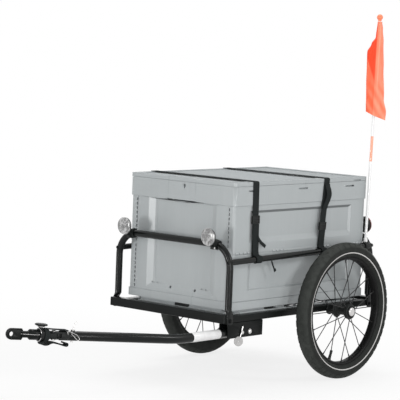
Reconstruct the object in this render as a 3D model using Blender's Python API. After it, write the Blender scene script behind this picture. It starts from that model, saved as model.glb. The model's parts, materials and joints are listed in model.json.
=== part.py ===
"""Folding bicycle trailer with a collapsible crate.

Metres, +Z up. +X is the trailer's left side, where the drawbar is, and -Y is the way it travels.
The origin lies on the ground, in the middle of the trailer's width and of its length over all.
The trailer stands on its wheels with a level deck and the drawbar unfolded.
"""

import math

import bmesh
import bpy
from mathutils import Matrix, Vector

for old in list(bpy.data.objects):
    bpy.data.objects.remove(old, do_unlink=True)

# Clearances
GAP = 0.0003
RUNNING_GAP = 0.0005

# Wheels: 16 inch, on stub axles that plug into the frame
WHEEL_RADIUS = 0.200
TYRE_WIDTH = 0.044
TYRE_DEPTH = 0.042
RIM_DEPTH = 0.0080
RIM_WIDTH = 0.026
WHEEL_SEGMENTS = 48
WHEEL_OFFSET = 0.0495
HUB_INNER_OFFSET = 0.0265
HUB_LENGTH = 0.0545
FLANGE_RADIUS = 0.022
HUB_BARREL_RADIUS = 0.0125
SPOKES_PER_FLANGE = 10
SPOKE_THICKNESS = 0.0022
SPOKE_LEAN = math.radians(13)
AXLE_RADIUS = 0.006
AXLE_HEAD_RADIUS = 0.016
AXLE_HEAD_LENGTH = 0.011
BUTTON_RADIUS = 0.013
BUTTON_TRAVEL = 0.003
BUTTON_STEM_RADIUS = 0.0025
HOUSING_RADIUS = 0.014

# Overall layout, measured from the wheel axle
HITCH_REACH = 1.140
DECK_AHEAD_OF_AXLE = 0.128
RAIL_BELOW_AXLE = 0.0065

# Crate: 600 x 400 mm, with a hinged lid and end walls that swing in
CRATE_LENGTH = 0.600
CRATE_WIDTH = 0.400
FOOT_HEIGHT = 0.0119
TRAY_HEIGHT = 0.0227
TRAY_FLOOR = 0.003
WALL_HEIGHT = 0.269
BAND_HEIGHT = 0.0535
BAND_THICKNESS = 0.012
LID_THICKNESS = 0.0119
WALL_THICKNESS = 0.009
WALL_INSET = 0.0025
CORNER_STRIP = 0.0235
RECESS_DEPTH = 0.004
RECESS_SLOPE = 0.008
LID_RIM = 0.024
LID_RECESS = 0.002
LID_SKIN = 0.003
FOOT_WALL = 0.014

# Frame tubes
POST_RADIUS = 0.00975
TUBE_WALL = 0.0015
CRATE_END_CLEARANCE = 0.00925
CRATE_BEHIND_MIDDLE = 0.007
CRATE_SIDE_CLEARANCE = 0.00265
CROSS_RAIL_HEIGHT = 0.025
CROSS_RAIL_DEPTH = 0.025
SIDE_RAIL_HEIGHT = 0.018
SIDE_RAIL_WIDTH = 0.030
DECK_BAR_WIDTH = 0.025
TAB_THICKNESS = 0.0038
TAB_INSET = 0.00055
TAB_RADIUS = 0.014
TAB_DROP = 0.0305
HOOP_RISE = 0.2155
HOOP_BEND = 0.065
GUARD_BAR_RADIUS = 0.0085
GUARD_BAR_RISE = 0.1685
GUARD_BAR_CLIMB = 0.013

# Reflectors
REFLECTOR_RADIUS = 0.025
REFLECTOR_DEPTH = 0.014
REFLECTOR_RISE = 0.022
REFLECTOR_INSET = 0.0514
CLAMP_WIDTH = 0.016
CLAMP_WALL = 0.0035
CLAMP_REACH = 0.0292

# Drawbar and its hinge bracket, under the left side rail
DRAWBAR_RADIUS = 0.013
DRAWBAR_WALL = 0.002
DRAWBAR_STRAIGHT = 0.161
DRAWBAR_BEND = 0.30
DRAWBAR_STUB = 0.016
DRAWBAR_BELOW_RAIL = 0.0295
BRACKET_SHEET = 0.003
BRACKET_LENGTH = 0.149
BRACKET_SETBACK = 0.0218
BRACKET_HEIGHT = 0.0435
PIVOT_FROM_BRACKET_END = 0.0555
PIVOT_BOLT_RADIUS = 0.004
LOCK_PIN_RADIUS = 0.003
LOCK_PIN_AHEAD = 0.035
LOCK_RING_RADIUS = 0.011
LOCK_RING_WIRE = 0.0013

# Hitch, in line with the front part of the drawbar
HITCH_EYE_X = 0.065
HITCH_EYE_HEIGHT = 0.205
EYE_RADIUS = 0.015
EYE_HOLE_RADIUS = 0.0062
EYE_PLATE_THICKNESS = 0.006
EYE_PLATE_LENGTH = 0.032
NECK_RADIUS = 0.009
NECK_LENGTH = 0.016
BARREL_RADIUS = 0.0142
BARREL_LENGTH = 0.030
SHANK_RADIUS = 0.008
SHANK_LENGTH = 0.024
SHANK_GROOVE_DEPTH = 0.0015
RECEIVER_RADIUS = 0.0155
RECEIVER_LENGTH = 0.030
TONGUE_THICKNESS = 0.011
CLEVIS_SHEET = 0.004
CLEVIS_RADIUS = 0.0125
CLEVIS_REACH = 0.030
PLUG_LENGTH = 0.030
TUBE_TO_YAW = 0.0443
YAW_BOLT_RADIUS = 0.004
KNOB_RADIUS = 0.017
KNOB_HEIGHT = 0.009
KNOB_TRAVEL = 0.004
PLUNGER_RADIUS = 0.004
BOSS_RADIUS = 0.0062
BOSS_HEIGHT = 0.005
HITCH_PIN_RADIUS = 0.003
HITCH_PIN_BACK = 0.012

# Webbing
STRAP_WIDTH = 0.025
STRAP_THICKNESS = 0.002
STRAP_SLACK = 0.0009
STRAP_TILT = 40
STRAP_TAIL = 0.037
FRONT_STRAP_LEAN = -0.02
REAR_STRAP_LEAN = 0.1066
FRONT_STRAP_AHEAD = 0.335
REAR_STRAP_AHEAD = 0.0155
FRONT_BUCKLE_DROP = 0.0942
REAR_BUCKLE_DROP = 0.1267
BUCKLE_LENGTH = 0.023
BUCKLE_RIM = 0.0026
BUCKLE_BACK = 0.0008
BUCKLE_DEPTH = 0.0055

# Flag
POLE_RADIUS = 0.004
POLE_LENGTH = 0.679
POLE_LEAN = math.radians(1.75)
POLE_AHEAD_OF_POST = 0.0234
POLE_COLLAR_RADIUS = 0.006
POLE_COLLAR_HEIGHT = 0.011
PEG_RADIUS = 0.0022
PEG_HEIGHT = 0.025
FINIAL_RADIUS = 0.009
HOLDER_LENGTH = 0.020
HOLDER_WALL = 0.0028
FLAG_HEIGHT = 0.268
FLAG_BELOW_FINIAL = 0.004
FLAG_CLOTH = 0.0012

# Places that follow from the sizes above
POST_SETBACK = CRATE_LENGTH / 2 + CRATE_END_CLEARANCE + POST_RADIUS
REFLECTOR_SETBACK = POST_SETBACK + CLAMP_REACH + REFLECTOR_DEPTH
REAR_REACH = max(WHEEL_RADIUS, REFLECTOR_SETBACK - DECK_AHEAD_OF_AXLE)
AXLE_Y = (HITCH_REACH - REAR_REACH) / 2
AXLE_Z = WHEEL_RADIUS
DECK_Y = AXLE_Y - DECK_AHEAD_OF_AXLE
CRATE_Y = DECK_Y + CRATE_BEHIND_MIDDLE
RAIL_BOTTOM = AXLE_Z - RAIL_BELOW_AXLE
CROSS_RAIL_TOP = RAIL_BOTTOM + CROSS_RAIL_HEIGHT
SIDE_RAIL_TOP = RAIL_BOTTOM + SIDE_RAIL_HEIGHT
POST_X = CRATE_WIDTH / 2 + CRATE_SIDE_CLEARANCE + POST_RADIUS
TAB_OUTER_X = POST_X + POST_RADIUS - TAB_INSET
TAB_INNER_X = TAB_OUTER_X - TAB_THICKNESS
RAIL_OUTER_X = TAB_INNER_X - GAP
RAIL_INNER_X = RAIL_OUTER_X - SIDE_RAIL_WIDTH
CROSS_RAIL_SETBACK = POST_SETBACK + 0.0008
HOOP_Z = RAIL_BOTTOM + HOOP_RISE
FOOT_BOTTOM = SIDE_RAIL_TOP + GAP
TRAY_BOTTOM = FOOT_BOTTOM + FOOT_HEIGHT
TRAY_TOP = TRAY_BOTTOM + TRAY_HEIGHT
WALL_BOTTOM = TRAY_TOP + GAP
WALL_TOP = TRAY_TOP + WALL_HEIGHT
BAND_BOTTOM = WALL_TOP + GAP
BAND_TOP = BAND_BOTTOM + BAND_HEIGHT
LID_BOTTOM = BAND_TOP + GAP
LID_TOP = LID_BOTTOM + LID_THICKNESS
WALL_X = CRATE_WIDTH / 2 - WALL_INSET
WALL_Y = CRATE_LENGTH / 2 - WALL_INSET
END_WALL_HALF = WALL_X - CORNER_STRIP
LID_HINGE_X = -CRATE_WIDTH / 2 + LID_THICKNESS / 2
LID_HINGE_Z = LID_BOTTOM + LID_THICKNESS / 2
END_HINGE_Z = WALL_TOP - WALL_THICKNESS / 2
END_HINGE_SETBACK = WALL_Y - WALL_THICKNESS / 2
WHEEL_X = RAIL_OUTER_X + WHEEL_OFFSET
HUB_INNER_X = RAIL_OUTER_X + HUB_INNER_OFFSET
HUB_OUTER_X = HUB_INNER_X + HUB_LENGTH
AXLE_FLANGE_X = HUB_OUTER_X - 0.0083
AXLE_END_X = AXLE_FLANGE_X + AXLE_HEAD_LENGTH
RIM_OUTER_RADIUS = WHEEL_RADIUS - TYRE_DEPTH - GAP
RIM_INNER_RADIUS = RIM_OUTER_RADIUS - RIM_DEPTH
BRACKET_TOP = RAIL_BOTTOM - GAP
BRACKET_FRONT = DECK_Y - CROSS_RAIL_SETBACK - CROSS_RAIL_DEPTH + BRACKET_SETBACK
BRACKET_BACK = BRACKET_FRONT + BRACKET_LENGTH
BRACKET_HALF = DRAWBAR_RADIUS + RUNNING_GAP + BRACKET_SHEET
DRAWBAR_X = RAIL_OUTER_X - BRACKET_HALF
DRAWBAR_Z = RAIL_BOTTOM - DRAWBAR_BELOW_RAIL
PIVOT_Y = BRACKET_BACK - PIVOT_FROM_BRACKET_END
LOCK_PIN_Y = PIVOT_Y - LOCK_PIN_AHEAD
ELBOW_Y = DECK_Y - CROSS_RAIL_SETBACK - CROSS_RAIL_DEPTH - DRAWBAR_STRAIGHT


def hitch_frame():
    """The hitch's own axes: its origin at the drawbar's elbow, -Y along the front part, +Z nearly up."""
    elbow = Vector((DRAWBAR_X, ELBOW_Y, DRAWBAR_Z))
    eye = Vector((HITCH_EYE_X, AXLE_Y - HITCH_REACH + EYE_RADIUS, HITCH_EYE_HEIGHT))
    for _ in range(4):
        forward = (eye - elbow).normalized()
        side = Vector((-forward.y, forward.x, 0)).normalized()
        reach = EYE_RADIUS * math.sqrt(1 - side.y**2) + EYE_PLATE_THICKNESS / 2 * abs(side.y)
        eye.y = AXLE_Y - HITCH_REACH + reach
    forward = (eye - elbow).normalized()
    side = Vector((-forward.y, forward.x, 0)).normalized()
    up = forward.cross(side).normalized()
    turn = Matrix((side, -forward, up)).transposed().to_4x4()
    return Matrix.Translation(elbow) @ turn, (eye - elbow).length


HITCH, EYE_DISTANCE = hitch_frame()

# Distances ahead of the elbow along the hitch
EYE_NECK_END = EYE_DISTANCE - EYE_PLATE_LENGTH
BARREL_START = EYE_NECK_END - NECK_LENGTH - BARREL_LENGTH
RECEIVER_FRONT = BARREL_START - GAP
RECEIVER_BACK = RECEIVER_FRONT - RECEIVER_LENGTH
YAW_AXIS = RECEIVER_BACK - CLEVIS_RADIUS - 0.003
TUBE_END = YAW_AXIS - TUBE_TO_YAW
PLUNGER_AXIS = RECEIVER_FRONT - PLUNGER_RADIUS - 0.0025


def material(name, colour, roughness, metallic=0.0):
    made = bpy.data.materials.new(name)
    made.use_nodes = True
    shader = made.node_tree.nodes["Principled BSDF"]
    shader.inputs["Base Color"].default_value = (*colour, 1)
    shader.inputs["Roughness"].default_value = roughness
    shader.inputs["Metallic"].default_value = metallic
    made.diffuse_color = (*colour, 1)
    return made


BLACK_PAINT = material("black_powder_coat", (0.014, 0.014, 0.015), 0.42)
BLACK_PLASTIC = material("black_plastic", (0.018, 0.018, 0.018), 0.5)
GREY_PLASTIC = material("grey_crate_plastic", (0.36, 0.385, 0.40), 0.55)
RUBBER = material("tyre_rubber", (0.022, 0.022, 0.022), 0.8)
RIM_BLACK = material("black_rim", (0.012, 0.012, 0.012), 0.35, 0.6)
STEEL = material("zinc_steel", (0.60, 0.60, 0.58), 0.3, 1.0)
SPOKE_STEEL = material("spoke_steel", (0.22, 0.22, 0.22), 0.35, 1.0)
CLEAR_LENS = material("clear_lens", (0.55, 0.57, 0.58), 0.15)
RED_LENS = material("red_lens", (0.25, 0.01, 0.01), 0.2)
WEBBING = material("black_webbing", (0.015, 0.016, 0.016), 0.85)
WHITE_POLE = material("white_fibreglass", (0.80, 0.80, 0.78), 0.4)
ORANGE_CLOTH = material("orange_cloth", (0.90, 0.13, 0.05), 0.8)


def made_object(name, bm, finish, smooth_angle=35):
    """A mesh object from bm, with its faces turned outwards."""
    bmesh.ops.remove_doubles(bm, verts=bm.verts, dist=1e-6)
    bmesh.ops.recalc_face_normals(bm, faces=bm.faces)
    mesh = bpy.data.meshes.new(name)
    bm.to_mesh(mesh)
    bm.free()
    mesh.shade_smooth()
    mesh.set_sharp_from_angle(angle=math.radians(smooth_angle))
    obj = bpy.data.objects.new(name, mesh)
    bpy.context.scene.collection.objects.link(obj)
    if finish:
        mesh.materials.append(finish)
    return obj


def helper(obj):
    """Makes obj a cutter or an added body: hidden, and drawn as wire."""
    obj.hide_render = True
    obj.display_type = "WIRE"
    return obj


def combine(obj, other, operation):
    step = obj.modifiers.new(other.name, "BOOLEAN")
    step.operation = operation
    step.solver = "EXACT"
    step.object = helper(other)


def cut(obj, *cutters):
    for cutter in cutters:
        combine(obj, cutter, "DIFFERENCE")


def add(obj, *bodies):
    for body in bodies:
        combine(obj, body, "UNION")


def box_mesh(low, high):
    bm = bmesh.new()
    bmesh.ops.create_cube(bm, size=1)
    low = Vector(low)
    high = Vector(high)
    for vert in bm.verts:
        share = vert.co + Vector((0.5, 0.5, 0.5))
        vert.co = Vector(a + (b - a) * s for a, b, s in zip(low, high, share))
    return bm


def box(name, low, high, finish=None):
    return made_object(name, box_mesh(low, high), finish)


def frustum(name, low, high, axis, taper, finish=None):
    """A box whose face at low on the axis is drawn in by taper on its four sides."""
    bm = box_mesh(low, high)
    middle = (Vector(low) + Vector(high)) / 2
    for vert in bm.verts:
        if abs(vert.co[axis] - low[axis]) < 1e-7:
            for other in range(3):
                if other != axis:
                    vert.co[other] += math.copysign(taper, middle[other] - vert.co[other])
    return made_object(name, bm, finish)


def prism_mesh(outline, low, high, axis):
    """The outline, a list of 2-D points, carried from low to high along the axis."""
    bm = bmesh.new()
    ends = []
    for level in (low, high):
        ring = []
        for a, b in outline:
            point = [a, b]
            point.insert(axis, level)
            ring.append(bm.verts.new(point))
        ends.append(ring)
    bm.faces.new(ends[0])
    bm.faces.new(reversed(ends[1]))
    count = len(outline)
    for i in range(count):
        j = (i + 1) % count
        bm.faces.new((ends[0][i], ends[0][j], ends[1][j], ends[1][i]))
    return bm


def prism(name, outline, low, high, axis, finish=None):
    return made_object(name, prism_mesh(outline, low, high, axis), finish)


def arc(centre, radius, start, end, steps):
    """Points on a circle from the start angle to the end angle, in degrees."""
    points = []
    for i in range(steps + 1):
        angle = math.radians(start + (end - start) * i / steps)
        points.append((centre[0] + radius * math.cos(angle), centre[1] + radius * math.sin(angle)))
    return points


def tube_section(name, low, high, axis, wall, finish):
    """A rectangular tube along the axis, open at both ends."""
    obj = box(name, low, high, finish)
    inner_low = [value + wall for value in low]
    inner_high = [value - wall for value in high]
    inner_low[axis] = low[axis] - wall
    inner_high[axis] = high[axis] + wall
    cut(obj, box(name + "_bore", inner_low, inner_high))
    return obj


# Rotations that carry the turning axis, local Z, to a world direction
ALONG_X = Matrix.Rotation(math.pi / 2, 4, "Y")
ALONG_Y = Matrix.Rotation(-math.pi / 2, 4, "X")
ALONG_Z = Matrix.Identity(4)


def turned_mesh(profile, segments, closed, phase=0.0):
    """Turns (height, radius) points about local Z. A closed profile makes a ring."""
    bm = bmesh.new()
    rings = []
    for height, radius in profile:
        if radius < 1e-7:
            rings.append([bm.verts.new((0, 0, height))])
            continue
        ring = []
        for i in range(segments):
            angle = phase + 2 * math.pi * i / segments
            ring.append(bm.verts.new((radius * math.cos(angle), radius * math.sin(angle), height)))
        rings.append(ring)
    pairs = list(zip(rings, rings[1:]))
    if closed:
        pairs.append((rings[-1], rings[0]))
    for first, second in pairs:
        for i in range(segments):
            j = (i + 1) % segments
            corners = []
            for ring, index in ((first, i), (first, j), (second, j), (second, i)):
                vert = ring[index % len(ring)]
                if vert not in corners:
                    corners.append(vert)
            if len(corners) > 2:
                bm.faces.new(corners)
    return bm


def turned(name, profile, centre, turn, segments, finish=None, closed=False, phase=0.0):
    bm = turned_mesh(profile, segments, closed, phase)
    bm.transform(Matrix.Translation(centre) @ turn)
    return made_object(name, bm, finish)


def rod(name, start, end, radius, segments=12, finish=None):
    """A plain cylinder between two points."""
    start = Vector(start)
    end = Vector(end)
    axis = end - start
    turn = axis.to_track_quat("Z", "Y").to_matrix().to_4x4()
    profile = [(0, 0), (0, radius), (axis.length, radius), (axis.length, 0)]
    return turned(name, profile, start, turn, segments, finish)


def swept_mesh(path, radius, bore, sides):
    """A round tube along the path. A bore of 0 makes it solid."""
    path = [Vector(point) for point in path]
    tangents = []
    for i, point in enumerate(path):
        before = (point - path[i - 1]).normalized() if i else Vector((0, 0, 0))
        after = (path[i + 1] - point).normalized() if i + 1 < len(path) else Vector((0, 0, 0))
        tangents.append((before + after).normalized())
    bm = bmesh.new()
    normal = tangents[0].orthogonal().normalized()
    shells = [[] for _ in range(2 if bore else 1)]
    for i, (point, tangent) in enumerate(zip(path, tangents)):
        if i:
            normal = (normal - tangent * normal.dot(tangent)).normalized()
        across = tangent.cross(normal)
        for shell, size in zip(shells, (radius, bore)):
            ring = []
            for k in range(sides):
                angle = 2 * math.pi * k / sides
                offset = normal * math.cos(angle) + across * math.sin(angle)
                ring.append(bm.verts.new(point + offset * size))
            shell.append(ring)
    for shell in shells:
        for first, second in zip(shell, shell[1:]):
            for k in range(sides):
                m = (k + 1) % sides
                bm.faces.new((first[k], first[m], second[m], second[k]))
    for end in (0, -1):
        if bore:
            for k in range(sides):
                m = (k + 1) % sides
                bm.faces.new((shells[0][end][k], shells[0][end][m], shells[1][end][m], shells[1][end][k]))
        else:
            bm.faces.new(shells[0][end])
    return bm


def swept(name, path, radius, bore, sides, finish=None):
    return made_object(name, swept_mesh(path, radius, bore, sides), finish)


def rounded_path(corners, radius, steps):
    """The corner points joined by straight runs, with an arc of the radius at each inner corner."""
    corners = [Vector(corner) for corner in corners]
    path = [corners[0]]
    for before, corner, after in zip(corners, corners[1:], corners[2:]):
        back = (before - corner).normalized()
        ahead = (after - corner).normalized()
        half = back.angle(ahead) / 2
        reach = radius / math.tan(half)
        middle = corner + (back + ahead).normalized() * radius / math.sin(half)
        start = corner + back * reach - middle
        end = corner + ahead * reach - middle
        sweep = start.angle(end)
        for i in range(steps + 1):
            share = i / steps
            spoke = start * math.sin((1 - share) * sweep) + end * math.sin(share * sweep)
            path.append(middle + spoke / math.sin(sweep))
    path.append(corners[-1])
    return path


def ribbon_mesh(path, thickness, low, high, closed=False):
    """Webbing whose edge follows a path of (x, z) points, from y = low to y = high."""
    count = len(path)
    sides = []
    for i, (x, z) in enumerate(path):
        here = Vector((x, z))
        before = Vector(path[i - 1])
        after = Vector(path[(i + 1) % count])
        if not closed and i == 0:
            before = here * 2 - after
        if not closed and i == count - 1:
            after = here * 2 - before
        first = (here - before).normalized()
        second = (after - here).normalized()
        bisector = (Vector((-first.y, first.x)) + Vector((-second.y, second.x))).normalized()
        reach = thickness / 2 / bisector.dot(Vector((-first.y, first.x)))
        sides.append((here + bisector * reach, here - bisector * reach))
    bm = bmesh.new()
    rows = []
    for outer, inner in sides:
        rows.append(
            [
                bm.verts.new((outer.x, low, outer.y)),
                bm.verts.new((outer.x, high, outer.y)),
                bm.verts.new((inner.x, high, inner.y)),
                bm.verts.new((inner.x, low, inner.y)),
            ]
        )
    pairs = list(zip(rows, rows[1:]))
    if closed:
        pairs.append((rows[-1], rows[0]))
    else:
        bm.faces.new(rows[0])
        bm.faces.new(reversed(rows[-1]))
    for first, second in pairs:
        for k in range(4):
            m = (k + 1) % 4
            bm.faces.new((first[k], first[m], second[m], second[k]))
    return bm


def joint_at(name, place):
    """An empty on a joint's axis, to which the moving pieces are parented."""
    empty = bpy.data.objects.new(name, None)
    empty.location = place
    empty.empty_display_size = 0.03
    bpy.context.scene.collection.objects.link(empty)
    return empty


def hang_on(empty, *pieces):
    """Parents the pieces to the empty, with their origins on it and their places unchanged."""
    place = empty.location
    for piece in pieces:
        piece.data.transform(Matrix.Translation(-place))
        piece.parent = empty


def both_sides():
    return (("left", 1), ("right", -1))


# The welded frame
def make_rails():
    front_y = DECK_Y - CROSS_RAIL_SETBACK
    back_y = DECK_Y + CROSS_RAIL_SETBACK
    for name, low_y in (("front_cross_rail", front_y - CROSS_RAIL_DEPTH), ("rear_cross_rail", back_y)):
        low = (-RAIL_OUTER_X, low_y, RAIL_BOTTOM)
        high = (RAIL_OUTER_X, low_y + CROSS_RAIL_DEPTH, CROSS_RAIL_TOP)
        tube_section(name, low, high, 0, TUBE_WALL, BLACK_PAINT)
    for name, side in both_sides():
        ends = sorted((side * RAIL_INNER_X, side * RAIL_OUTER_X))
        low = (ends[0], front_y + GAP, RAIL_BOTTOM)
        high = (ends[1], back_y - GAP, SIDE_RAIL_TOP)
        tube_section(name + "_side_rail", low, high, 1, TUBE_WALL, BLACK_PAINT)
    low = (-RAIL_INNER_X + GAP, DECK_Y - DECK_BAR_WIDTH / 2, RAIL_BOTTOM)
    high = (RAIL_INNER_X - GAP, DECK_Y + DECK_BAR_WIDTH / 2, SIDE_RAIL_TOP)
    tube_section("deck_bar", low, high, 0, TUBE_WALL, BLACK_PAINT)


def hoop_tube(name, end, radius, bore, finish=None):
    y = DECK_Y + end * POST_SETBACK
    foot = CROSS_RAIL_TOP + RUNNING_GAP
    corners = ((-POST_X, y, foot), (-POST_X, y, HOOP_Z), (POST_X, y, HOOP_Z), (POST_X, y, foot))
    path = rounded_path(corners, HOOP_BEND, 7)
    return swept(name, path, radius, bore, 12, finish)


def hoop_at(x):
    """The height of a hoop's centre line at x, and how far it slopes there."""
    into_bend = max(0.0, abs(x) - POST_X + HOOP_BEND)
    height = HOOP_Z - HOOP_BEND + math.sqrt(HOOP_BEND**2 - into_bend**2)
    return height, math.copysign(math.asin(into_bend / HOOP_BEND), x)


def make_hoop(name, end):
    """A bent tube over one end of the crate, flattened at its feet to bolt to the side rails."""
    hoop = hoop_tube(name, end, POST_RADIUS, POST_RADIUS - TUBE_WALL, BLACK_PAINT)
    y = DECK_Y + end * POST_SETBACK
    foot = CROSS_RAIL_TOP + RUNNING_GAP
    tip = CROSS_RAIL_TOP - TAB_DROP + TAB_RADIUS
    for label, side in both_sides():
        outline = arc((y, tip), TAB_RADIUS, 180, 360, 8)
        outline += [(y + TAB_RADIUS * 0.7, foot + 0.022), (y - TAB_RADIUS * 0.7, foot + 0.022)]
        faces = sorted((side * TAB_INNER_X, side * TAB_OUTER_X))
        add(hoop, prism(f"{name}_{label}_tab", outline, faces[0], faces[1], 0))


def guard_bar_z(y):
    """The height of a guard bar's centre at a place along the frame."""
    share = (y - DECK_Y + POST_SETBACK) / (2 * POST_SETBACK)
    return RAIL_BOTTOM + GUARD_BAR_RISE + GUARD_BAR_CLIMB * share


def make_guard_bars():
    for label, side in both_sides():
        ends = []
        for end in (-1, 1):
            y = DECK_Y + end * (POST_SETBACK - POST_RADIUS - GAP)
            ends.append((side * POST_X, y, guard_bar_z(y)))
        bore = GUARD_BAR_RADIUS - TUBE_WALL
        swept(label + "_guard_bar", ends, GUARD_BAR_RADIUS, bore, 12, BLACK_PAINT)


def make_reflectors():
    """A round reflector on a clamp at each end of both hoops: clear in front, red behind."""
    for place, end, lens in (("front", -1, CLEAR_LENS), ("rear", 1, RED_LENS)):
        bar_y = DECK_Y + end * POST_SETBACK
        back_y = bar_y + end * CLAMP_REACH
        for label, side in both_sides():
            x = side * (POST_X - REFLECTOR_INSET)
            name = f"{place}_{label}_reflector"
            profile = [
                (0, 0),
                (0, REFLECTOR_RADIUS * 0.8),
                (REFLECTOR_DEPTH * 0.35, REFLECTOR_RADIUS),
                (REFLECTOR_DEPTH * 0.8, REFLECTOR_RADIUS),
                (REFLECTOR_DEPTH, REFLECTOR_RADIUS * 0.86),
                (REFLECTOR_DEPTH, 0),
            ]
            outwards = ALONG_Y if end > 0 else Matrix.Rotation(math.pi / 2, 4, "X")
            centre = (x, back_y, HOOP_Z + REFLECTOR_RISE)
            turned(name, profile, centre, outwards, 24, lens)
            ring = POST_RADIUS + RUNNING_GAP + CLAMP_WALL
            height, slope = hoop_at(x)
            middle = Vector((x, bar_y, height))
            along = Vector((math.cos(slope), 0, -math.sin(slope))) * CLAMP_WIDTH / 2
            clamp = rod(name + "_clamp", middle - along, middle + along, ring, 20, BLACK_PLASTIC)
            ys = sorted((bar_y + end * ring * 0.6, back_y - end * GAP))
            inset = 0.0015
            low = (x - CLAMP_WIDTH / 2 + inset, ys[0], height - ring * 0.6)
            high = (x + CLAMP_WIDTH / 2 - inset, ys[1], HOOP_Z + REFLECTOR_RISE + 0.010)
            add(clamp, box(name + "_post", low, high))
            cut(clamp, hoop_tube(name + "_bore", end, POST_RADIUS + RUNNING_GAP, 0))


# Wheels
def outward(side):
    """Carries local Z to the outward direction of one side of the trailer."""
    return ALONG_X if side > 0 else Matrix.Rotation(-math.pi / 2, 4, "Y")


def make_wheel(label, side):
    centre = (0, AXLE_Y, AXLE_Z)
    turn = outward(side)
    half = TYRE_WIDTH / 2
    bead = RIM_OUTER_RADIUS + GAP
    tread = [(0.50, 0.955), (0.89, 0.76), (1.0, 0.48), (0.84, 0.17), (RIM_WIDTH / TYRE_WIDTH * 0.94, 0)]
    profile = [(WHEEL_X, WHEEL_RADIUS)]
    profile += [(WHEEL_X + half * u, bead + TYRE_DEPTH * v) for u, v in tread]
    profile += [(WHEEL_X - half * u, bead + TYRE_DEPTH * v) for u, v in reversed(tread)]
    tyre = turned(label + "_tyre", profile, centre, turn, WHEEL_SEGMENTS, RUBBER, closed=True)

    rim_half = RIM_WIDTH / 2
    profile = [
        (WHEEL_X + rim_half, RIM_OUTER_RADIUS),
        (WHEEL_X + rim_half, RIM_OUTER_RADIUS - RIM_DEPTH * 0.5),
        (WHEEL_X + rim_half * 0.55, RIM_INNER_RADIUS),
        (WHEEL_X - rim_half * 0.55, RIM_INNER_RADIUS),
        (WHEEL_X - rim_half, RIM_OUTER_RADIUS - RIM_DEPTH * 0.5),
        (WHEEL_X - rim_half, RIM_OUTER_RADIUS),
    ]
    rim = turned(label + "_rim", profile, centre, turn, WHEEL_SEGMENTS, RIM_BLACK, closed=True)

    bore = AXLE_RADIUS + GAP
    pocket = AXLE_HEAD_RADIUS + RUNNING_GAP
    pocket_x = AXLE_FLANGE_X - GAP
    profile = [
        (HUB_INNER_X, bore),
        (HUB_INNER_X, HUB_BARREL_RADIUS),
        (HUB_INNER_X + 0.0015, FLANGE_RADIUS),
        (HUB_INNER_X + 0.005, FLANGE_RADIUS),
        (HUB_INNER_X + 0.006, HUB_BARREL_RADIUS),
        (pocket_x - 0.0035, HUB_BARREL_RADIUS),
        (pocket_x - 0.0025, FLANGE_RADIUS),
        (HUB_OUTER_X - 0.0015, FLANGE_RADIUS),
        (HUB_OUTER_X, FLANGE_RADIUS - 0.0015),
        (HUB_OUTER_X, pocket),
        (pocket_x, pocket),
        (pocket_x, bore),
    ]
    hub = turned(label + "_hub", profile, centre, turn, 24, SPOKE_STEEL, closed=True)
    add(hub, made_object(label + "_spokes", spokes_mesh(side), None))

    axle_joint = joint_at(label + "_wheel_axis", (side * WHEEL_X, AXLE_Y, AXLE_Z))
    hang_on(axle_joint, tyre, rim, hub)


def spokes_mesh(side):
    """Ten spokes from each flange, leaning in pairs, each ending just short of the rim."""
    bm = bmesh.new()
    flanges = (
        (HUB_INNER_X + 0.00325, WHEEL_X - 0.003, 0.0),
        (AXLE_FLANGE_X + 0.0015, WHEEL_X + 0.003, math.pi / SPOKES_PER_FLANGE),
    )
    end_radius = RIM_INNER_RADIUS * math.cos(math.pi / WHEEL_SEGMENTS) - GAP
    for flange_x, rim_x, phase in flanges:
        for k in range(SPOKES_PER_FLANGE):
            at_rim = phase + 2 * math.pi * k / SPOKES_PER_FLANGE
            at_hub = at_rim + (SPOKE_LEAN if k % 2 else -SPOKE_LEAN)
            root_radius = (AXLE_HEAD_RADIUS + RUNNING_GAP + FLANGE_RADIUS) / 2
            at_flange = Vector((0, math.cos(at_hub), math.sin(at_hub))) * root_radius
            near_rim = Vector((0, math.cos(at_rim), math.sin(at_rim))) * end_radius
            start = Vector((side * flange_x, AXLE_Y, AXLE_Z)) + at_flange
            end = Vector((side * rim_x, AXLE_Y, AXLE_Z)) + near_rim
            piece = swept_mesh((start, end), SPOKE_THICKNESS / math.sqrt(2), 0, 4)
            shape = bpy.data.meshes.new("spoke")
            piece.to_mesh(shape)
            piece.free()
            bm.from_mesh(shape)
            bpy.data.meshes.remove(shape)
    return bm


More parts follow.
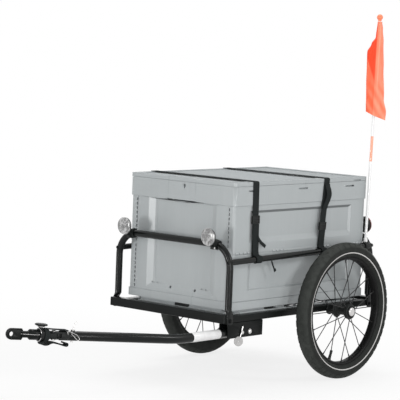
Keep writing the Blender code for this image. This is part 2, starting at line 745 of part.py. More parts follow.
def make_axle(label, side):
    """The stub axle with its push button, and the housing on the frame that it plugs into."""
    centre = (0, AXLE_Y, AXLE_Z)
    turn = outward(side)
    bore = AXLE_RADIUS + GAP
    housing_end = HUB_INNER_X - RUNNING_GAP
    profile = [
        (RAIL_OUTER_X + GAP, bore),
        (RAIL_OUTER_X + GAP, HOUSING_RADIUS + 0.003),
        (RAIL_OUTER_X + 0.004, HOUSING_RADIUS + 0.003),
        (RAIL_OUTER_X + 0.005, HOUSING_RADIUS),
        (housing_end - 0.002, HOUSING_RADIUS),
        (housing_end, HOUSING_RADIUS - 0.002),
        (housing_end, bore),
    ]
    turned(label + "_axle_housing", profile, centre, turn, 24, BLACK_PAINT, closed=True)

    floor = AXLE_END_X - 0.0065
    stem_bore = BUTTON_STEM_RADIUS + GAP
    stem_floor = floor - 0.0145
    cup = BUTTON_RADIUS + GAP
    profile = [
        (RAIL_OUTER_X + GAP, 0),
        (RAIL_OUTER_X + GAP, AXLE_RADIUS - 0.001),
        (RAIL_OUTER_X + 0.0013, AXLE_RADIUS),
        (AXLE_FLANGE_X, AXLE_RADIUS),
        (AXLE_FLANGE_X, AXLE_HEAD_RADIUS),
        (AXLE_END_X - 0.001, AXLE_HEAD_RADIUS),
        (AXLE_END_X, AXLE_HEAD_RADIUS - 0.001),
        (AXLE_END_X, cup),
        (floor, cup),
        (floor, stem_bore),
        (stem_floor, stem_bore),
        (stem_floor, 0),
    ]
    turned(label + "_axle", profile, centre, turn, 24, STEEL)

    under = floor + BUTTON_TRAVEL + 0.001
    edge = under + 0.0035
    dome = [(edge + 0.002 * math.sin(a), BUTTON_RADIUS * math.cos(a)) for a in (0.5, 1.0)]
    profile = [
        (under - 0.0135, 0),
        (under - 0.0135, BUTTON_STEM_RADIUS),
        (under, BUTTON_STEM_RADIUS),
        (under, BUTTON_RADIUS),
        (edge, BUTTON_RADIUS),
        *dome,
        (edge + 0.002, 0),
    ]
    button = turned(label + "_release_button", profile, centre, turn, 24, STEEL)
    hang_on(joint_at(label + "_button_axis", (side * under, AXLE_Y, AXLE_Z)), button)


# Drawbar bracket, hinge and tube
def make_drawbar_bracket():
    """An inverted channel under the left rail, with holes for the pivot bolt and the locking pin."""
    low = (DRAWBAR_X - BRACKET_HALF, BRACKET_FRONT, BRACKET_TOP - BRACKET_HEIGHT)
    high = (DRAWBAR_X + BRACKET_HALF, BRACKET_BACK, BRACKET_TOP)
    bracket = box("drawbar_bracket", low, high, BLACK_PAINT)
    inner_low = (low[0] + BRACKET_SHEET, low[1] - 0.01, low[2] - 0.01)
    inner_high = (high[0] - BRACKET_SHEET, high[1] + 0.01, high[2] - BRACKET_SHEET)
    cut(bracket, box("bracket_channel", inner_low, inner_high))
    for name, y, radius in (("pivot", PIVOT_Y, PIVOT_BOLT_RADIUS), ("lock_pin", LOCK_PIN_Y, LOCK_PIN_RADIUS)):
        start = (low[0] - 0.01, y, DRAWBAR_Z)
        end = (high[0] + 0.01, y, DRAWBAR_Z)
        cut(bracket, rod(f"bracket_{name}_hole", start, end, radius + GAP, 16))


def make_pivot_bolt():
    inner = DRAWBAR_X - BRACKET_HALF - GAP
    outer = DRAWBAR_X + BRACKET_HALF + GAP
    head = PIVOT_BOLT_RADIUS * 1.75
    profile = [
        (inner - 0.005, 0),
        (inner - 0.005, head * 0.9),
        (inner - 0.004, head),
        (inner, head),
        (inner, PIVOT_BOLT_RADIUS),
        (outer, PIVOT_BOLT_RADIUS),
        (outer, head),
        (outer + 0.004, head),
        (outer + 0.005, head * 0.8),
        (outer + 0.005, 0),
    ]
    turned("drawbar_pivot_bolt", profile, (0, PIVOT_Y, DRAWBAR_Z), ALONG_X, 16, STEEL)


def drawbar_path():
    back = (DRAWBAR_X, PIVOT_Y + DRAWBAR_STUB, DRAWBAR_Z)
    elbow = (DRAWBAR_X, ELBOW_Y, DRAWBAR_Z)
    front = HITCH @ Vector((0, -TUBE_END, 0))
    return rounded_path((back, elbow, front), DRAWBAR_BEND, 5)


def hitch_rod(name, ahead, low, high, radius, segments=12, finish=None):
    """A cylinder square to the hitch, at a distance ahead of the elbow."""
    start = HITCH @ Vector((0, -ahead, low))
    end = HITCH @ Vector((0, -ahead, high))
    return rod(name, start, end, radius, segments, finish)


def make_drawbar():
    """The bent tube. It swings down off the locking pin, so its slot for the pin is open at the top."""
    bore = DRAWBAR_RADIUS - DRAWBAR_WALL
    tube = swept("drawbar_tube", drawbar_path(), DRAWBAR_RADIUS, bore, 16, BLACK_PAINT)
    reach = DRAWBAR_RADIUS * 2
    start = (DRAWBAR_X - reach, PIVOT_Y, DRAWBAR_Z)
    end = (DRAWBAR_X + reach, PIVOT_Y, DRAWBAR_Z)
    cut(tube, rod("drawbar_pivot_hole", start, end, PIVOT_BOLT_RADIUS + GAP, 12))
    play = LOCK_PIN_RADIUS + RUNNING_GAP
    rise = DRAWBAR_RADIUS + play
    drift = LOCK_PIN_AHEAD - math.sqrt(LOCK_PIN_AHEAD**2 - rise**2)
    low = (DRAWBAR_X - reach, LOCK_PIN_Y - play, DRAWBAR_Z - play)
    high = (DRAWBAR_X + reach, LOCK_PIN_Y + drift + play, DRAWBAR_Z + reach)
    cut(tube, box("drawbar_lock_slot", low, high))
    pin_place = TUBE_END - HITCH_PIN_BACK
    hole = HITCH_PIN_RADIUS + GAP
    cut(tube, hitch_rod("drawbar_hitch_pin_hole", pin_place, -reach, reach, hole))
    return tube


def make_lock_pin():
    """The pin that locks the drawbar straight, with its pull ring and spring clip."""
    inner = DRAWBAR_X - BRACKET_HALF - 0.006
    outer = DRAWBAR_X + BRACKET_HALF + GAP
    profile = [
        (inner, 0),
        (inner, LOCK_PIN_RADIUS * 0.7),
        (inner + 0.0015, LOCK_PIN_RADIUS),
        (outer, LOCK_PIN_RADIUS),
        (outer, LOCK_PIN_RADIUS * 1.8),
        (outer + 0.005, LOCK_PIN_RADIUS * 1.8),
        (outer + 0.005, 0),
    ]
    pin = turned("drawbar_lock_pin", profile, (0, LOCK_PIN_Y, DRAWBAR_Z), ALONG_X, 12, STEEL)
    ring_x = outer + 0.0025
    drop = LOCK_RING_RADIUS + LOCK_PIN_RADIUS * 1.8 - LOCK_RING_WIRE
    section = arc((0, LOCK_RING_RADIUS), LOCK_RING_WIRE, 45, 315, 3)
    centre = (ring_x, LOCK_PIN_Y, DRAWBAR_Z - drop)
    ring = turned("lock_pin_ring", section, centre, ALONG_X, 20, closed=True)
    clip_start = (ring_x, LOCK_PIN_Y, DRAWBAR_Z)
    clip_end = (ring_x, LOCK_PIN_Y - 0.003, DRAWBAR_Z + 0.018)
    add(pin, ring, rod("lock_pin_clip", clip_start, clip_end, LOCK_RING_WIRE, 6))
    return pin


# Hitch
def hitch_turned(name, profile, segments, finish=None):
    """A shape turned about the hitch's own line; its heights are distances ahead of the elbow."""
    bm = turned_mesh(profile, segments, False)
    bm.transform(HITCH @ Matrix.Rotation(math.pi / 2, 4, "X"))
    return made_object(name, bm, finish)


def hitch_upright(name, ahead, profile, segments, finish=None):
    """A turned piece standing across the hitch, its profile given as (height, radius)."""
    bm = turned_mesh(profile, segments, False)
    bm.transform(HITCH @ Matrix.Translation((0, -ahead, 0)))
    return made_object(name, bm, finish)


def hitch_prism(name, outline, low, high, axis, finish=None):
    """An outline in the hitch's own axes; its lengths along the hitch are distances ahead."""
    bm = prism_mesh(outline, low, high, axis)
    bm.transform(HITCH @ Matrix.Diagonal((1, -1, 1, 1)))
    return made_object(name, bm, finish)


def make_hitch_tail():
    """The plug pinned inside the tube, with the two plates of the yaw joint."""
    fit = DRAWBAR_RADIUS - DRAWBAR_WALL - RUNNING_GAP
    plates_back = YAW_AXIS - CLEVIS_REACH
    profile = [
        (TUBE_END - PLUG_LENGTH, 0),
        (TUBE_END - PLUG_LENGTH, fit),
        (TUBE_END + GAP, fit),
        (TUBE_END + GAP, DRAWBAR_RADIUS),
        (plates_back + 0.012, DRAWBAR_RADIUS),
        (plates_back + 0.012, 0),
    ]
    tail = hitch_turned("hitch_tail", profile, 16, BLACK_PLASTIC)
    half = TONGUE_THICKNESS / 2 + GAP
    for name, low in (("upper_clevis_plate", half), ("lower_clevis_plate", -half - CLEVIS_SHEET)):
        outline = arc((0, YAW_AXIS), CLEVIS_RADIUS, 0, 180, 10)
        outline += [(-CLEVIS_RADIUS * 0.9, plates_back), (CLEVIS_RADIUS * 0.9, plates_back)]
        add(tail, hitch_prism(name, outline, low, low + CLEVIS_SHEET, 2))
    reach = DRAWBAR_RADIUS * 2
    pin_place = TUBE_END - HITCH_PIN_BACK
    cut(tail, hitch_rod("tail_pin_hole", pin_place, -reach, reach, HITCH_PIN_RADIUS + GAP))
    cut(tail, hitch_rod("tail_yaw_hole", YAW_AXIS, -reach, reach, YAW_BOLT_RADIUS + GAP))
    return tail


def make_hitch_pin():
    """The upright pin through the tube and the tail, with a bow to pull it by."""
    top = DRAWBAR_RADIUS + GAP
    ahead = TUBE_END - HITCH_PIN_BACK
    head = HITCH_PIN_RADIUS * 1.9
    profile = [
        (-top - 0.004, 0),
        (-top - 0.004, HITCH_PIN_RADIUS),
        (top, HITCH_PIN_RADIUS),
        (top, head),
        (top + 0.004, head),
        (top + 0.004, 0),
    ]
    pin = hitch_upright("hitch_pin", ahead, profile, 12, STEEL)
    start = HITCH @ Vector((0, -ahead, top + 0.002))
    knee = HITCH @ Vector((0, -ahead + 0.002, top + 0.016))
    end = HITCH @ Vector((0, -ahead + 0.010, top + 0.024))
    add(pin, swept("hitch_pin_bow", (start, knee, end), 0.0016, 0, 6))
    return pin


def make_receiver():
    """The socket for the hitch arm, with the tongue of the yaw joint behind it."""
    bore = SHANK_RADIUS + GAP
    bore_end = RECEIVER_FRONT - SHANK_LENGTH - 0.001
    profile = [
        (RECEIVER_BACK, 0),
        (RECEIVER_BACK, RECEIVER_RADIUS - 0.002),
        (RECEIVER_BACK + 0.002, RECEIVER_RADIUS),
        (RECEIVER_FRONT - 0.004, RECEIVER_RADIUS),
        (RECEIVER_FRONT - 0.004, RECEIVER_RADIUS + 0.001),
        (RECEIVER_FRONT, RECEIVER_RADIUS + 0.001),
        (RECEIVER_FRONT, bore),
        (bore_end, bore),
        (bore_end, 0),
    ]
    receiver = hitch_turned("hitch_receiver", profile, 20, BLACK_PLASTIC)
    half = TONGUE_THICKNESS / 2
    width = CLEVIS_RADIUS - 0.001
    outline = arc((0, YAW_AXIS), width, 180, 360, 10)
    outline += [(width * 0.9, RECEIVER_BACK + 0.003), (-width * 0.9, RECEIVER_BACK + 0.003)]
    add(receiver, hitch_prism("receiver_tongue", outline, -half, half, 2))
    boss_top = RECEIVER_RADIUS + BOSS_HEIGHT
    boss = hitch_rod("receiver_boss", PLUNGER_AXIS, SHANK_RADIUS + 0.003, boss_top, BOSS_RADIUS)
    add(receiver, boss)
    reach = RECEIVER_RADIUS * 3
    hole = PLUNGER_RADIUS + GAP
    cut(receiver, hitch_rod("receiver_plunger_hole", PLUNGER_AXIS, 0, reach, hole))
    cut(receiver, hitch_rod("receiver_yaw_hole", YAW_AXIS, -reach, reach, YAW_BOLT_RADIUS + GAP))
    return receiver


def make_yaw_bolt():
    half = TONGUE_THICKNESS / 2 + GAP + CLEVIS_SHEET + GAP
    head = YAW_BOLT_RADIUS * 1.6
    profile = [
        (-half - 0.003, 0),
        (-half - 0.003, head),
        (-half, head),
        (-half, YAW_BOLT_RADIUS),
        (half, YAW_BOLT_RADIUS),
        (half, head),
        (half + 0.003, head),
        (half + 0.003, 0),
    ]
    return hitch_upright("hitch_yaw_bolt", YAW_AXIS, profile, 12, STEEL)


def make_plunger():
    """The sprung locking plunger and its cap, which drops into the arm's groove."""
    tip = SHANK_RADIUS - SHANK_GROOVE_DEPTH + RUNNING_GAP
    cap = RECEIVER_RADIUS + BOSS_HEIGHT + GAP
    profile = [
        (tip, 0),
        (tip, PLUNGER_RADIUS),
        (cap, PLUNGER_RADIUS),
        (cap, KNOB_RADIUS * 0.5),
        (cap + 0.002, KNOB_RADIUS * 0.55),
        (cap + 0.004, KNOB_RADIUS),
        (cap + KNOB_HEIGHT - 0.003, KNOB_RADIUS),
        (cap + KNOB_HEIGHT, KNOB_RADIUS * 0.7),
        (cap + KNOB_HEIGHT, 0),
    ]
    return hitch_upright("hitch_plunger_knob", PLUNGER_AXIS, profile, 20, BLACK_PLASTIC)


def make_hitch_arm():
    """The arm on the bicycle's side: shank, barrel, neck, and the plate with the axle eye."""
    back = RECEIVER_FRONT - SHANK_LENGTH
    groove = SHANK_RADIUS - SHANK_GROOVE_DEPTH
    groove_half = PLUNGER_RADIUS + RUNNING_GAP
    neck_start = BARREL_START + BARREL_LENGTH
    profile = [
        (back, 0),
        (back, SHANK_RADIUS - 0.001),
        (back + 0.001, SHANK_RADIUS),
        (PLUNGER_AXIS - groove_half, SHANK_RADIUS),
        (PLUNGER_AXIS - groove_half, groove),
        (PLUNGER_AXIS + groove_half, groove),
        (PLUNGER_AXIS + groove_half, SHANK_RADIUS),
        (BARREL_START, SHANK_RADIUS),
        (BARREL_START, BARREL_RADIUS),
        (neck_start - 0.006, BARREL_RADIUS),
        (neck_start, NECK_RADIUS),
        (EYE_NECK_END + 0.004, NECK_RADIUS),
        (EYE_NECK_END + 0.004, 0),
    ]
    arm = hitch_turned("hitch_arm", profile, 20, BLACK_PAINT)
    outline = arc((EYE_DISTANCE, 0), EYE_RADIUS, -90, 90, 12)
    outline += [(EYE_NECK_END + 0.003, EYE_RADIUS), (EYE_NECK_END - 0.002, NECK_RADIUS * 0.8)]
    outline += [(EYE_NECK_END - 0.002, -NECK_RADIUS * 0.8), (EYE_NECK_END + 0.003, -EYE_RADIUS)]
    half = EYE_PLATE_THICKNESS / 2
    add(arm, hitch_prism("eye_plate", outline, -half, half, 0))
    start = HITCH @ Vector((-0.02, -EYE_DISTANCE, 0))
    end = HITCH @ Vector((0.02, -EYE_DISTANCE, 0))
    cut(arm, rod("eye_hole", start, end, EYE_HOLE_RADIUS, 20))
    return arm


# The hanging tail's route as (distance ahead of the yaw bolt, distance below the receiver) in metres
HANGING_TAIL = (
    (0.024, 0),
    (0.033, 0.0006),
    (0.0365, 0.003),
    (0.0345, 0.0065),
    (0.027, 0.009),
    (0.019, 0.008),
    (0.012, 0.0035),
    (0.005, 0.0012),
    (-0.002, 0.0025),
    (-0.014, 0.007),
    (-0.025, 0.0105),
    (-0.034, 0.0115),
    (-0.038, 0.009),
    (-0.0375, 0.003),
    (-0.031, 0.0008),
)


def make_safety_strap():
    """Webbing sewn round the receiver. One tail lies over the yaw joint, the other hangs below in two loops."""
    inner = RECEIVER_RADIUS + GAP
    outer = inner + STRAP_THICKNESS
    front = PLUNGER_AXIS - BOSS_RADIUS - RUNNING_GAP
    back = RECEIVER_BACK + 0.004
    profile = [(back, inner), (back, outer), (front, outer), (front, inner)]
    bm = turned_mesh(profile, 20, True)
    bm.transform(HITCH @ Matrix.Rotation(math.pi / 2, 4, "X"))
    strap = made_object("hitch_safety_strap", bm, WEBBING)
    middle = inner + STRAP_THICKNESS / 2
    over = [(back + 0.0043, middle - 0.0001), (back - 0.003, middle - 0.0002)]
    over += [(YAW_AXIS, middle - 0.0012), (YAW_AXIS - STRAP_TAIL, middle - 0.0016)]
    under = [(YAW_AXIS + ahead, -middle - drop) for ahead, drop in HANGING_TAIL]
    flip = Matrix(((0, 1, 0, 0), (-1, 0, 0, 0), (0, 0, 1, 0), (0, 0, 0, 1)))
    for name, path in (("strap_upper_tail", over), ("strap_lower_tail", under)):
        bm = ribbon_mesh(path, STRAP_THICKNESS, -STRAP_WIDTH / 2, STRAP_WIDTH / 2)
        bm.transform(HITCH @ flip)
        add(strap, made_object(name, bm, None))
    return strap


# Crate
def make_tray():
    """The crate's floor: a shallow tray on a foot that leaves the corners free."""
    half_x = CRATE_WIDTH / 2
    half_y = CRATE_LENGTH / 2
    low = (-half_x, CRATE_Y - half_y, TRAY_BOTTOM)
    high = (half_x, CRATE_Y + half_y, TRAY_TOP)
    tray = box("crate_tray", low, high, GREY_PLASTIC)
    wide_x, wide_y = half_x - 0.005, half_y - 0.045
    long_x, long_y = half_x - 0.045, half_y - 0.008
    quarter = [(wide_x, wide_y), (long_x, wide_y), (long_x, long_y)]
    outline = []
    for sx, sy, points in ((1, 1, quarter), (-1, 1, quarter[::-1]), (-1, -1, quarter), (1, -1, quarter[::-1])):
        outline += [(sx * x, CRATE_Y + sy * y) for x, y in points]
    add(tray, prism("crate_foot", outline, FOOT_BOTTOM, TRAY_BOTTOM + 0.002, 2))
    rim = WALL_INSET + WALL_THICKNESS + 0.004
    low = (-half_x + rim, CRATE_Y - half_y + rim, TRAY_BOTTOM + TRAY_FLOOR)
    high = (half_x - rim, CRATE_Y + half_y - rim, TRAY_TOP + 0.01)
    cut(tray, box("tray_pocket", low, high))
    low = (-wide_x + FOOT_WALL, CRATE_Y - wide_y + FOOT_WALL, FOOT_BOTTOM - 0.01)
    high = (wide_x - FOOT_WALL, CRATE_Y + wide_y - FOOT_WALL, TRAY_BOTTOM)
    cut(tray, box("foot_pocket", low, high))


def make_side_walls():
    """Each long wall folds at mid height, so it is an upper and a lower panel."""
    middle = (WALL_BOTTOM + WALL_TOP) / 2
    heights = (("lower", WALL_BOTTOM, middle - GAP / 2), ("upper", middle + GAP / 2, WALL_TOP))
    for label, side in both_sides():
        outline = [
            (side * WALL_X, CRATE_Y - WALL_Y),
            (side * WALL_X, CRATE_Y + WALL_Y),
            (side * (WALL_X - CORNER_STRIP + GAP), CRATE_Y + WALL_Y),
            (side * (WALL_X - CORNER_STRIP + GAP), CRATE_Y + WALL_Y - WALL_THICKNESS),
            (side * (WALL_X - WALL_THICKNESS), CRATE_Y + WALL_Y - WALL_THICKNESS),
            (side * (WALL_X - WALL_THICKNESS), CRATE_Y - WALL_Y + WALL_THICKNESS),
            (side * (WALL_X - CORNER_STRIP + GAP), CRATE_Y - WALL_Y + WALL_THICKNESS),
            (side * (WALL_X - CORNER_STRIP + GAP), CRATE_Y - WALL_Y),
        ]
        for level, low, high in heights:
            name = f"crate_{label}_{level}_wall"
            wall = prism(name, outline, low, high, 2, GREY_PLASTIC)
            xs = (WALL_X - RECESS_DEPTH, WALL_X + 0.004)
            cutter = frustum(
                name + "_recess",
                (xs[0], CRATE_Y - WALL_Y + 0.062, low + 0.024),
                (xs[1], CRATE_Y + WALL_Y - 0.062, high - 0.016),
                0,
                RECESS_SLOPE,
            )
            if side < 0:
                cutter.data.transform(Matrix.Diagonal((-1, 1, 1, 1)))
                cutter.data.flip_normals()
            cut(wall, cutter)


def make_band():
    """The rim around the top of the crate."""
    half_x = CRATE_WIDTH / 2
    half_y = CRATE_LENGTH / 2
    band = box(
        "crate_rim_band",
        (-half_x, CRATE_Y - half_y, BAND_BOTTOM),
        (half_x, CRATE_Y + half_y, BAND_TOP),
        GREY_PLASTIC,
    )
    low = (-half_x + BAND_THICKNESS, CRATE_Y - half_y + BAND_THICKNESS, BAND_BOTTOM - 0.01)
    high = (half_x - BAND_THICKNESS, CRATE_Y + half_y - BAND_THICKNESS, BAND_TOP + 0.01)
    cut(band, box("band_opening", low, high))


def make_end_wall(name, end):
    """A short wall that swings in and up about a round top edge under the rim."""
    half = WALL_THICKNESS / 2
    hinge_y = CRATE_Y + end * END_HINGE_SETBACK
    outline = arc((hinge_y, END_HINGE_Z), half, 0, 180, 8)
    outline += [(hinge_y - half, WALL_BOTTOM), (hinge_y + half, WALL_BOTTOM)]
    wall = prism(name, outline, -END_WALL_HALF, END_WALL_HALF, 0, GREY_PLASTIC)
    cutter = frustum(
        name + "_recess",
        (-0.130, hinge_y + half - RECESS_DEPTH, WALL_BOTTOM + 0.019),
        (0.130, hinge_y + half + 0.004, WALL_TOP - 0.010),
        1,
        RECESS_SLOPE * 1.6,
    )
    if end < 0:
        cutter.data.transform(Matrix.Translation((0, 2 * hinge_y, 0)) @ Matrix.Diagonal((1, -1, 1, 1)))
        cutter.data.flip_normals()
    cut(wall, cutter)
    hang_on(joint_at(name + "_hinge", (0, hinge_y, END_HINGE_Z)), wall)


def make_lid():
    """The lid, hinged along the right edge, with a raised rim around its top."""
    half = LID_THICKNESS / 2
    outline = arc((LID_HINGE_X, LID_HINGE_Z), half, 90, 270, 8)
    outline += [(CRATE_WIDTH / 2, LID_BOTTOM), (CRATE_WIDTH / 2, LID_TOP)]
    bm = prism_mesh(outline, CRATE_Y - CRATE_LENGTH / 2, CRATE_Y + CRATE_LENGTH / 2, 1)
    lid = made_object("crate_lid", bm, GREY_PLASTIC)
    low = (-CRATE_WIDTH / 2 + LID_RIM, CRATE_Y - CRATE_LENGTH / 2 + LID_RIM, LID_TOP - LID_RECESS)
    high = (CRATE_WIDTH / 2 - LID_RIM, CRATE_Y + CRATE_LENGTH / 2 - LID_RIM, LID_TOP + 0.01)
    cut(lid, box("lid_recess", low, high))
    low = (low[0], low[1], LID_BOTTOM - 0.01)
    high = (high[0], high[1], LID_TOP - LID_RECESS - LID_SKIN)
    cut(lid, box("lid_underside", low, high))
    return lid


# Straps
def lean_strap(bm, lean):
    """Slants a strap's run down the crate's side by its lean, in metres along the crate for each metre down."""
    for vert in bm.verts:
        if vert.co.x > RAIL_INNER_X:
            vert.co.y -= lean * max(0.0, LID_TOP - vert.co.z)
    return bm


def strap_loop(name, side, y, top, lean):
    """Doubled webbing round a guard bar, up the crate's side to the height of its top."""
    bar_z = guard_bar_z(y)
    bar_z = guard_bar_z(y - lean * (LID_TOP - bar_z))
    half = STRAP_THICKNESS / 2
    inner = CRATE_WIDTH / 2 + GAP + half
    outer = inner + STRAP_THICKNESS + 0.0008
    wrap = GUARD_BAR_RADIUS + STRAP_SLACK + half
    turn = arc((POST_X, bar_z), wrap, 180, 360 + STRAP_TILT, 10)
    meet = turn[-1][1] + (turn[-1][0] - outer) / math.tan(math.radians(STRAP_TILT))
    path = [(inner, top - half), *turn, (outer, meet), (outer, top - half)]
    path = [(side * x, z) for x, z in path]
    bm = ribbon_mesh(path, STRAP_THICKNESS, y - STRAP_WIDTH / 2, y + STRAP_WIDTH / 2, closed=True)
    return made_object(name, lean_strap(bm, lean), WEBBING)


def make_strap(place, ahead, drop, lean):
    """One strap: a loop on each guard bar, a run over the lid, and a buckle on the left side."""
    y = AXLE_Y - ahead
    half = STRAP_THICKNESS / 2
    buckle_top = LID_TOP - GAP - drop
    buckle_bottom = buckle_top - BUCKLE_LENGTH
    strap_loop(place + "_strap_left", 1, y, buckle_bottom - GAP, lean)
    strap_loop(place + "_strap_right", -1, y, LID_HINGE_Z - LID_THICKNESS / 4, 0)
    face = CRATE_WIDTH / 2 + GAP + half
    over = LID_TOP + GAP + half
    path = [(LID_HINGE_X + 0.001, over), (face, over), (face, buckle_bottom + GAP)]
    bm = ribbon_mesh(path, STRAP_THICKNESS, y - STRAP_WIDTH / 2, y + STRAP_WIDTH / 2)
    top = made_object(place + "_strap_top", lean_strap(bm, lean), WEBBING)
    slot_x = (face - half - GAP, face + half + GAP)
    inner = slot_x[0] - BUCKLE_BACK
    low = (inner, y - STRAP_WIDTH / 2 - BUCKLE_RIM, buckle_bottom)
    high = (inner + BUCKLE_DEPTH, y + STRAP_WIDTH / 2 + BUCKLE_RIM, buckle_top)
    buckle = made_object(place + "_buckle", lean_strap(box_mesh(low, high), lean), BLACK_PLASTIC)
    slot_low = (slot_x[0], y - STRAP_WIDTH / 2 - GAP, buckle_bottom - 0.01)
    slot_high = (slot_x[1], y + STRAP_WIDTH / 2 + GAP, buckle_top + 0.01)
    cut(buckle, made_object(place + "_buckle_slot", lean_strap(box_mesh(slot_low, slot_high), lean), None))
    return top, buckle


# Flag
HOLDER_OUTER = GUARD_BAR_RADIUS + RUNNING_GAP + HOLDER_WALL
POLE_Y = DECK_Y + POST_SETBACK - POLE_AHEAD_OF_POST
POLE_FOOT = guard_bar_z(POLE_Y) + HOLDER_OUTER + GAP
POLE_FRAME = Matrix.Translation((POST_X, POLE_Y, POLE_FOOT)) @ Matrix.Rotation(-POLE_LEAN, 4, "X")


def make_flag_holder():
    """A sleeve round the end of the left guard bar, with the peg that the pole slips over."""
    bore = GUARD_BAR_RADIUS + RUNNING_GAP
    end = DECK_Y + POST_SETBACK - POST_RADIUS - 4 * RUNNING_GAP
    profile = [
        (end - HOLDER_LENGTH, bore),
        (end - HOLDER_LENGTH, HOLDER_OUTER),
        (end, HOLDER_OUTER),
        (end, bore),
    ]
    slope = GUARD_BAR_CLIMB / (2 * POST_SETBACK)
    bm = turned_mesh(profile, 24, True)
    bm.transform(Matrix.Translation((POST_X, 0, 0)) @ ALONG_Y)
    for vert in bm.verts:
        vert.co.z += guard_bar_z(end) + (vert.co.y - end) * slope
    holder = made_object("flag_holder", bm, BLACK_PLASTIC)
    start = POLE_FRAME @ Vector((0, 0, -HOLDER_WALL * 0.6))
    add(holder, rod("flag_peg", start, POLE_FRAME @ Vector((0, 0, PEG_HEIGHT)), PEG_RADIUS, 12))


FLAG_ROWS = 14
FLAG_COLUMNS = 24
# Each edge of the hanging cloth as (share of the height, distance from the pole in metres)
FLAG_LEFT = ((0, 0.0056), (0.17, 0.0085), (0.25, 0.020), (0.34, 0.031), (0.6, 0.029), (0.9, 0.0255), (1, 0.024))
FLAG_RIGHT = ((0, 0.0075), (0.08, 0.011), (0.22, 0.0155), (0.5, 0.0205), (0.8, 0.027), (0.92, 0.036), (1, 0.035))
FLAG_HEM = ((0, 0), (0.6, 0.004), (1, 0.023))


def flag_edge(down, table):
    """The value at a share of the cloth's height, eased between the listed ones."""
    for (a, low), (b, high) in zip(table, table[1:]):
        if down <= b:
            t = (down - a) / (b - a)
            return low + (high - low) * t * t * (3 - 2 * t)
    return table[-1][1]


def flag_across(u, left, right):
    """How far the cloth at u lies across the pole, and how far its hem drops there.

    The cloth runs from the left fold to the right fold in front of the pole, then back behind it.
    """
    phase = math.cos(math.pi * 2 * u * 0.96 + 0.06)
    across = -phase * (left if phase > 0 else right)
    return across, (1 - phase) / 2


def flag_depth(u, down):
    """How far in front of the pole the cloth lies."""
    angle = math.pi * 2 * u * 0.96 + 0.06
    sleeve = POLE_RADIUS + GAP + FLAG_CLOTH / 2
    body = (sleeve + 0.0022 * min(1.0, 4 * down)) * math.sin(angle) * 1.015
    ripple = 0.0016 * math.sin(3 * angle + 4.5 * down) * min(1.0, 4 * down)
    return body + ripple * abs(math.sin(angle))


def make_pole():
    """The flag pole, with its round end cap."""
    ball_z = POLE_LENGTH - FINIAL_RADIUS
    arc_start = math.asin(POLE_RADIUS / FINIAL_RADIUS)
    bore = PEG_RADIUS + GAP
    profile = [
        (PEG_HEIGHT + 0.001, 0),
        (PEG_HEIGHT + 0.001, bore),
        (0.0, bore),
        (0.0, POLE_COLLAR_RADIUS),
        (POLE_COLLAR_HEIGHT, POLE_COLLAR_RADIUS),
        (POLE_COLLAR_HEIGHT, POLE_RADIUS),
    ]
    steps = 6
    for i in range(steps):
        angle = arc_start + (math.pi - arc_start) * i / steps
        profile.append((ball_z - FINIAL_RADIUS * math.cos(angle), FINIAL_RADIUS * math.sin(angle)))
    profile.append((POLE_LENGTH, 0))
    bm = turned_mesh(profile, 12, False)
    bm.transform(POLE_FRAME)
    return made_object("flag_pole", bm, WHITE_POLE)


def make_flag():
    """The pennant's cloth: a sleeve on the pole whose loose side hangs down the pole in two folds."""
    toward = Vector((0.745, 0.667, 0))
    away = Vector((0.667, -0.745, 0))
    top = POLE_LENGTH - 2 * FINIAL_RADIUS - FLAG_BELOW_FINIAL
    rows = FLAG_ROWS
    bm = bmesh.new()
    shells = ([], [])
    for row in range(rows + 1):
        down = row / rows
        left = flag_edge(down, FLAG_LEFT)
        right = flag_edge(down, FLAG_RIGHT)
        centres = []
        for k in range(FLAG_COLUMNS + 1):
            u = k / FLAG_COLUMNS
            depth = flag_depth(u, down)
            across, share = flag_across(u, left, right)
            sink = flag_edge(down, FLAG_HEM) * share
            centres.append(toward * across + away * depth + Vector((0, 0, top - FLAG_HEIGHT * down - sink)))
        for shell, sign in zip(shells, (1, -1)):
            line = []
            for k, centre in enumerate(centres):
                before = centres[max(k - 1, 0)]
                after = centres[min(k + 1, FLAG_COLUMNS)]
                tangent = after - before
                tangent.z = 0
                normal = tangent.normalized().cross(Vector((0, 0, 1)))
                line.append(bm.verts.new(centre + normal * sign * FLAG_CLOTH / 2))
            shell.append(line)
    for shell in shells:
        for r in range(rows):
            for k in range(FLAG_COLUMNS):
                bm.faces.new((shell[r][k], shell[r][k + 1], shell[r + 1][k + 1], shell[r + 1][k]))
    front, back = shells
    for k in range(FLAG_COLUMNS):
        for r in (0, rows):
            bm.faces.new((front[r][k], front[r][k + 1], back[r][k + 1], back[r][k]))
    for r in range(rows):
        for k in (0, FLAG_COLUMNS):
            bm.faces.new((front[r][k], front[r + 1][k], back[r + 1][k], back[r][k]))
    bm.transform(POLE_FRAME)
    return made_object("flag_cloth", bm, ORANGE_CLOTH, 80)


# Assembly
make_rails()
make_hoop("front_hoop", -1)
make_hoop("rear_hoop", 1)
make_guard_bars()
make_reflectors()
for side_name, side_sign in both_sides():
    make_wheel(side_name, side_sign)
    make_axle(side_name, side_sign)

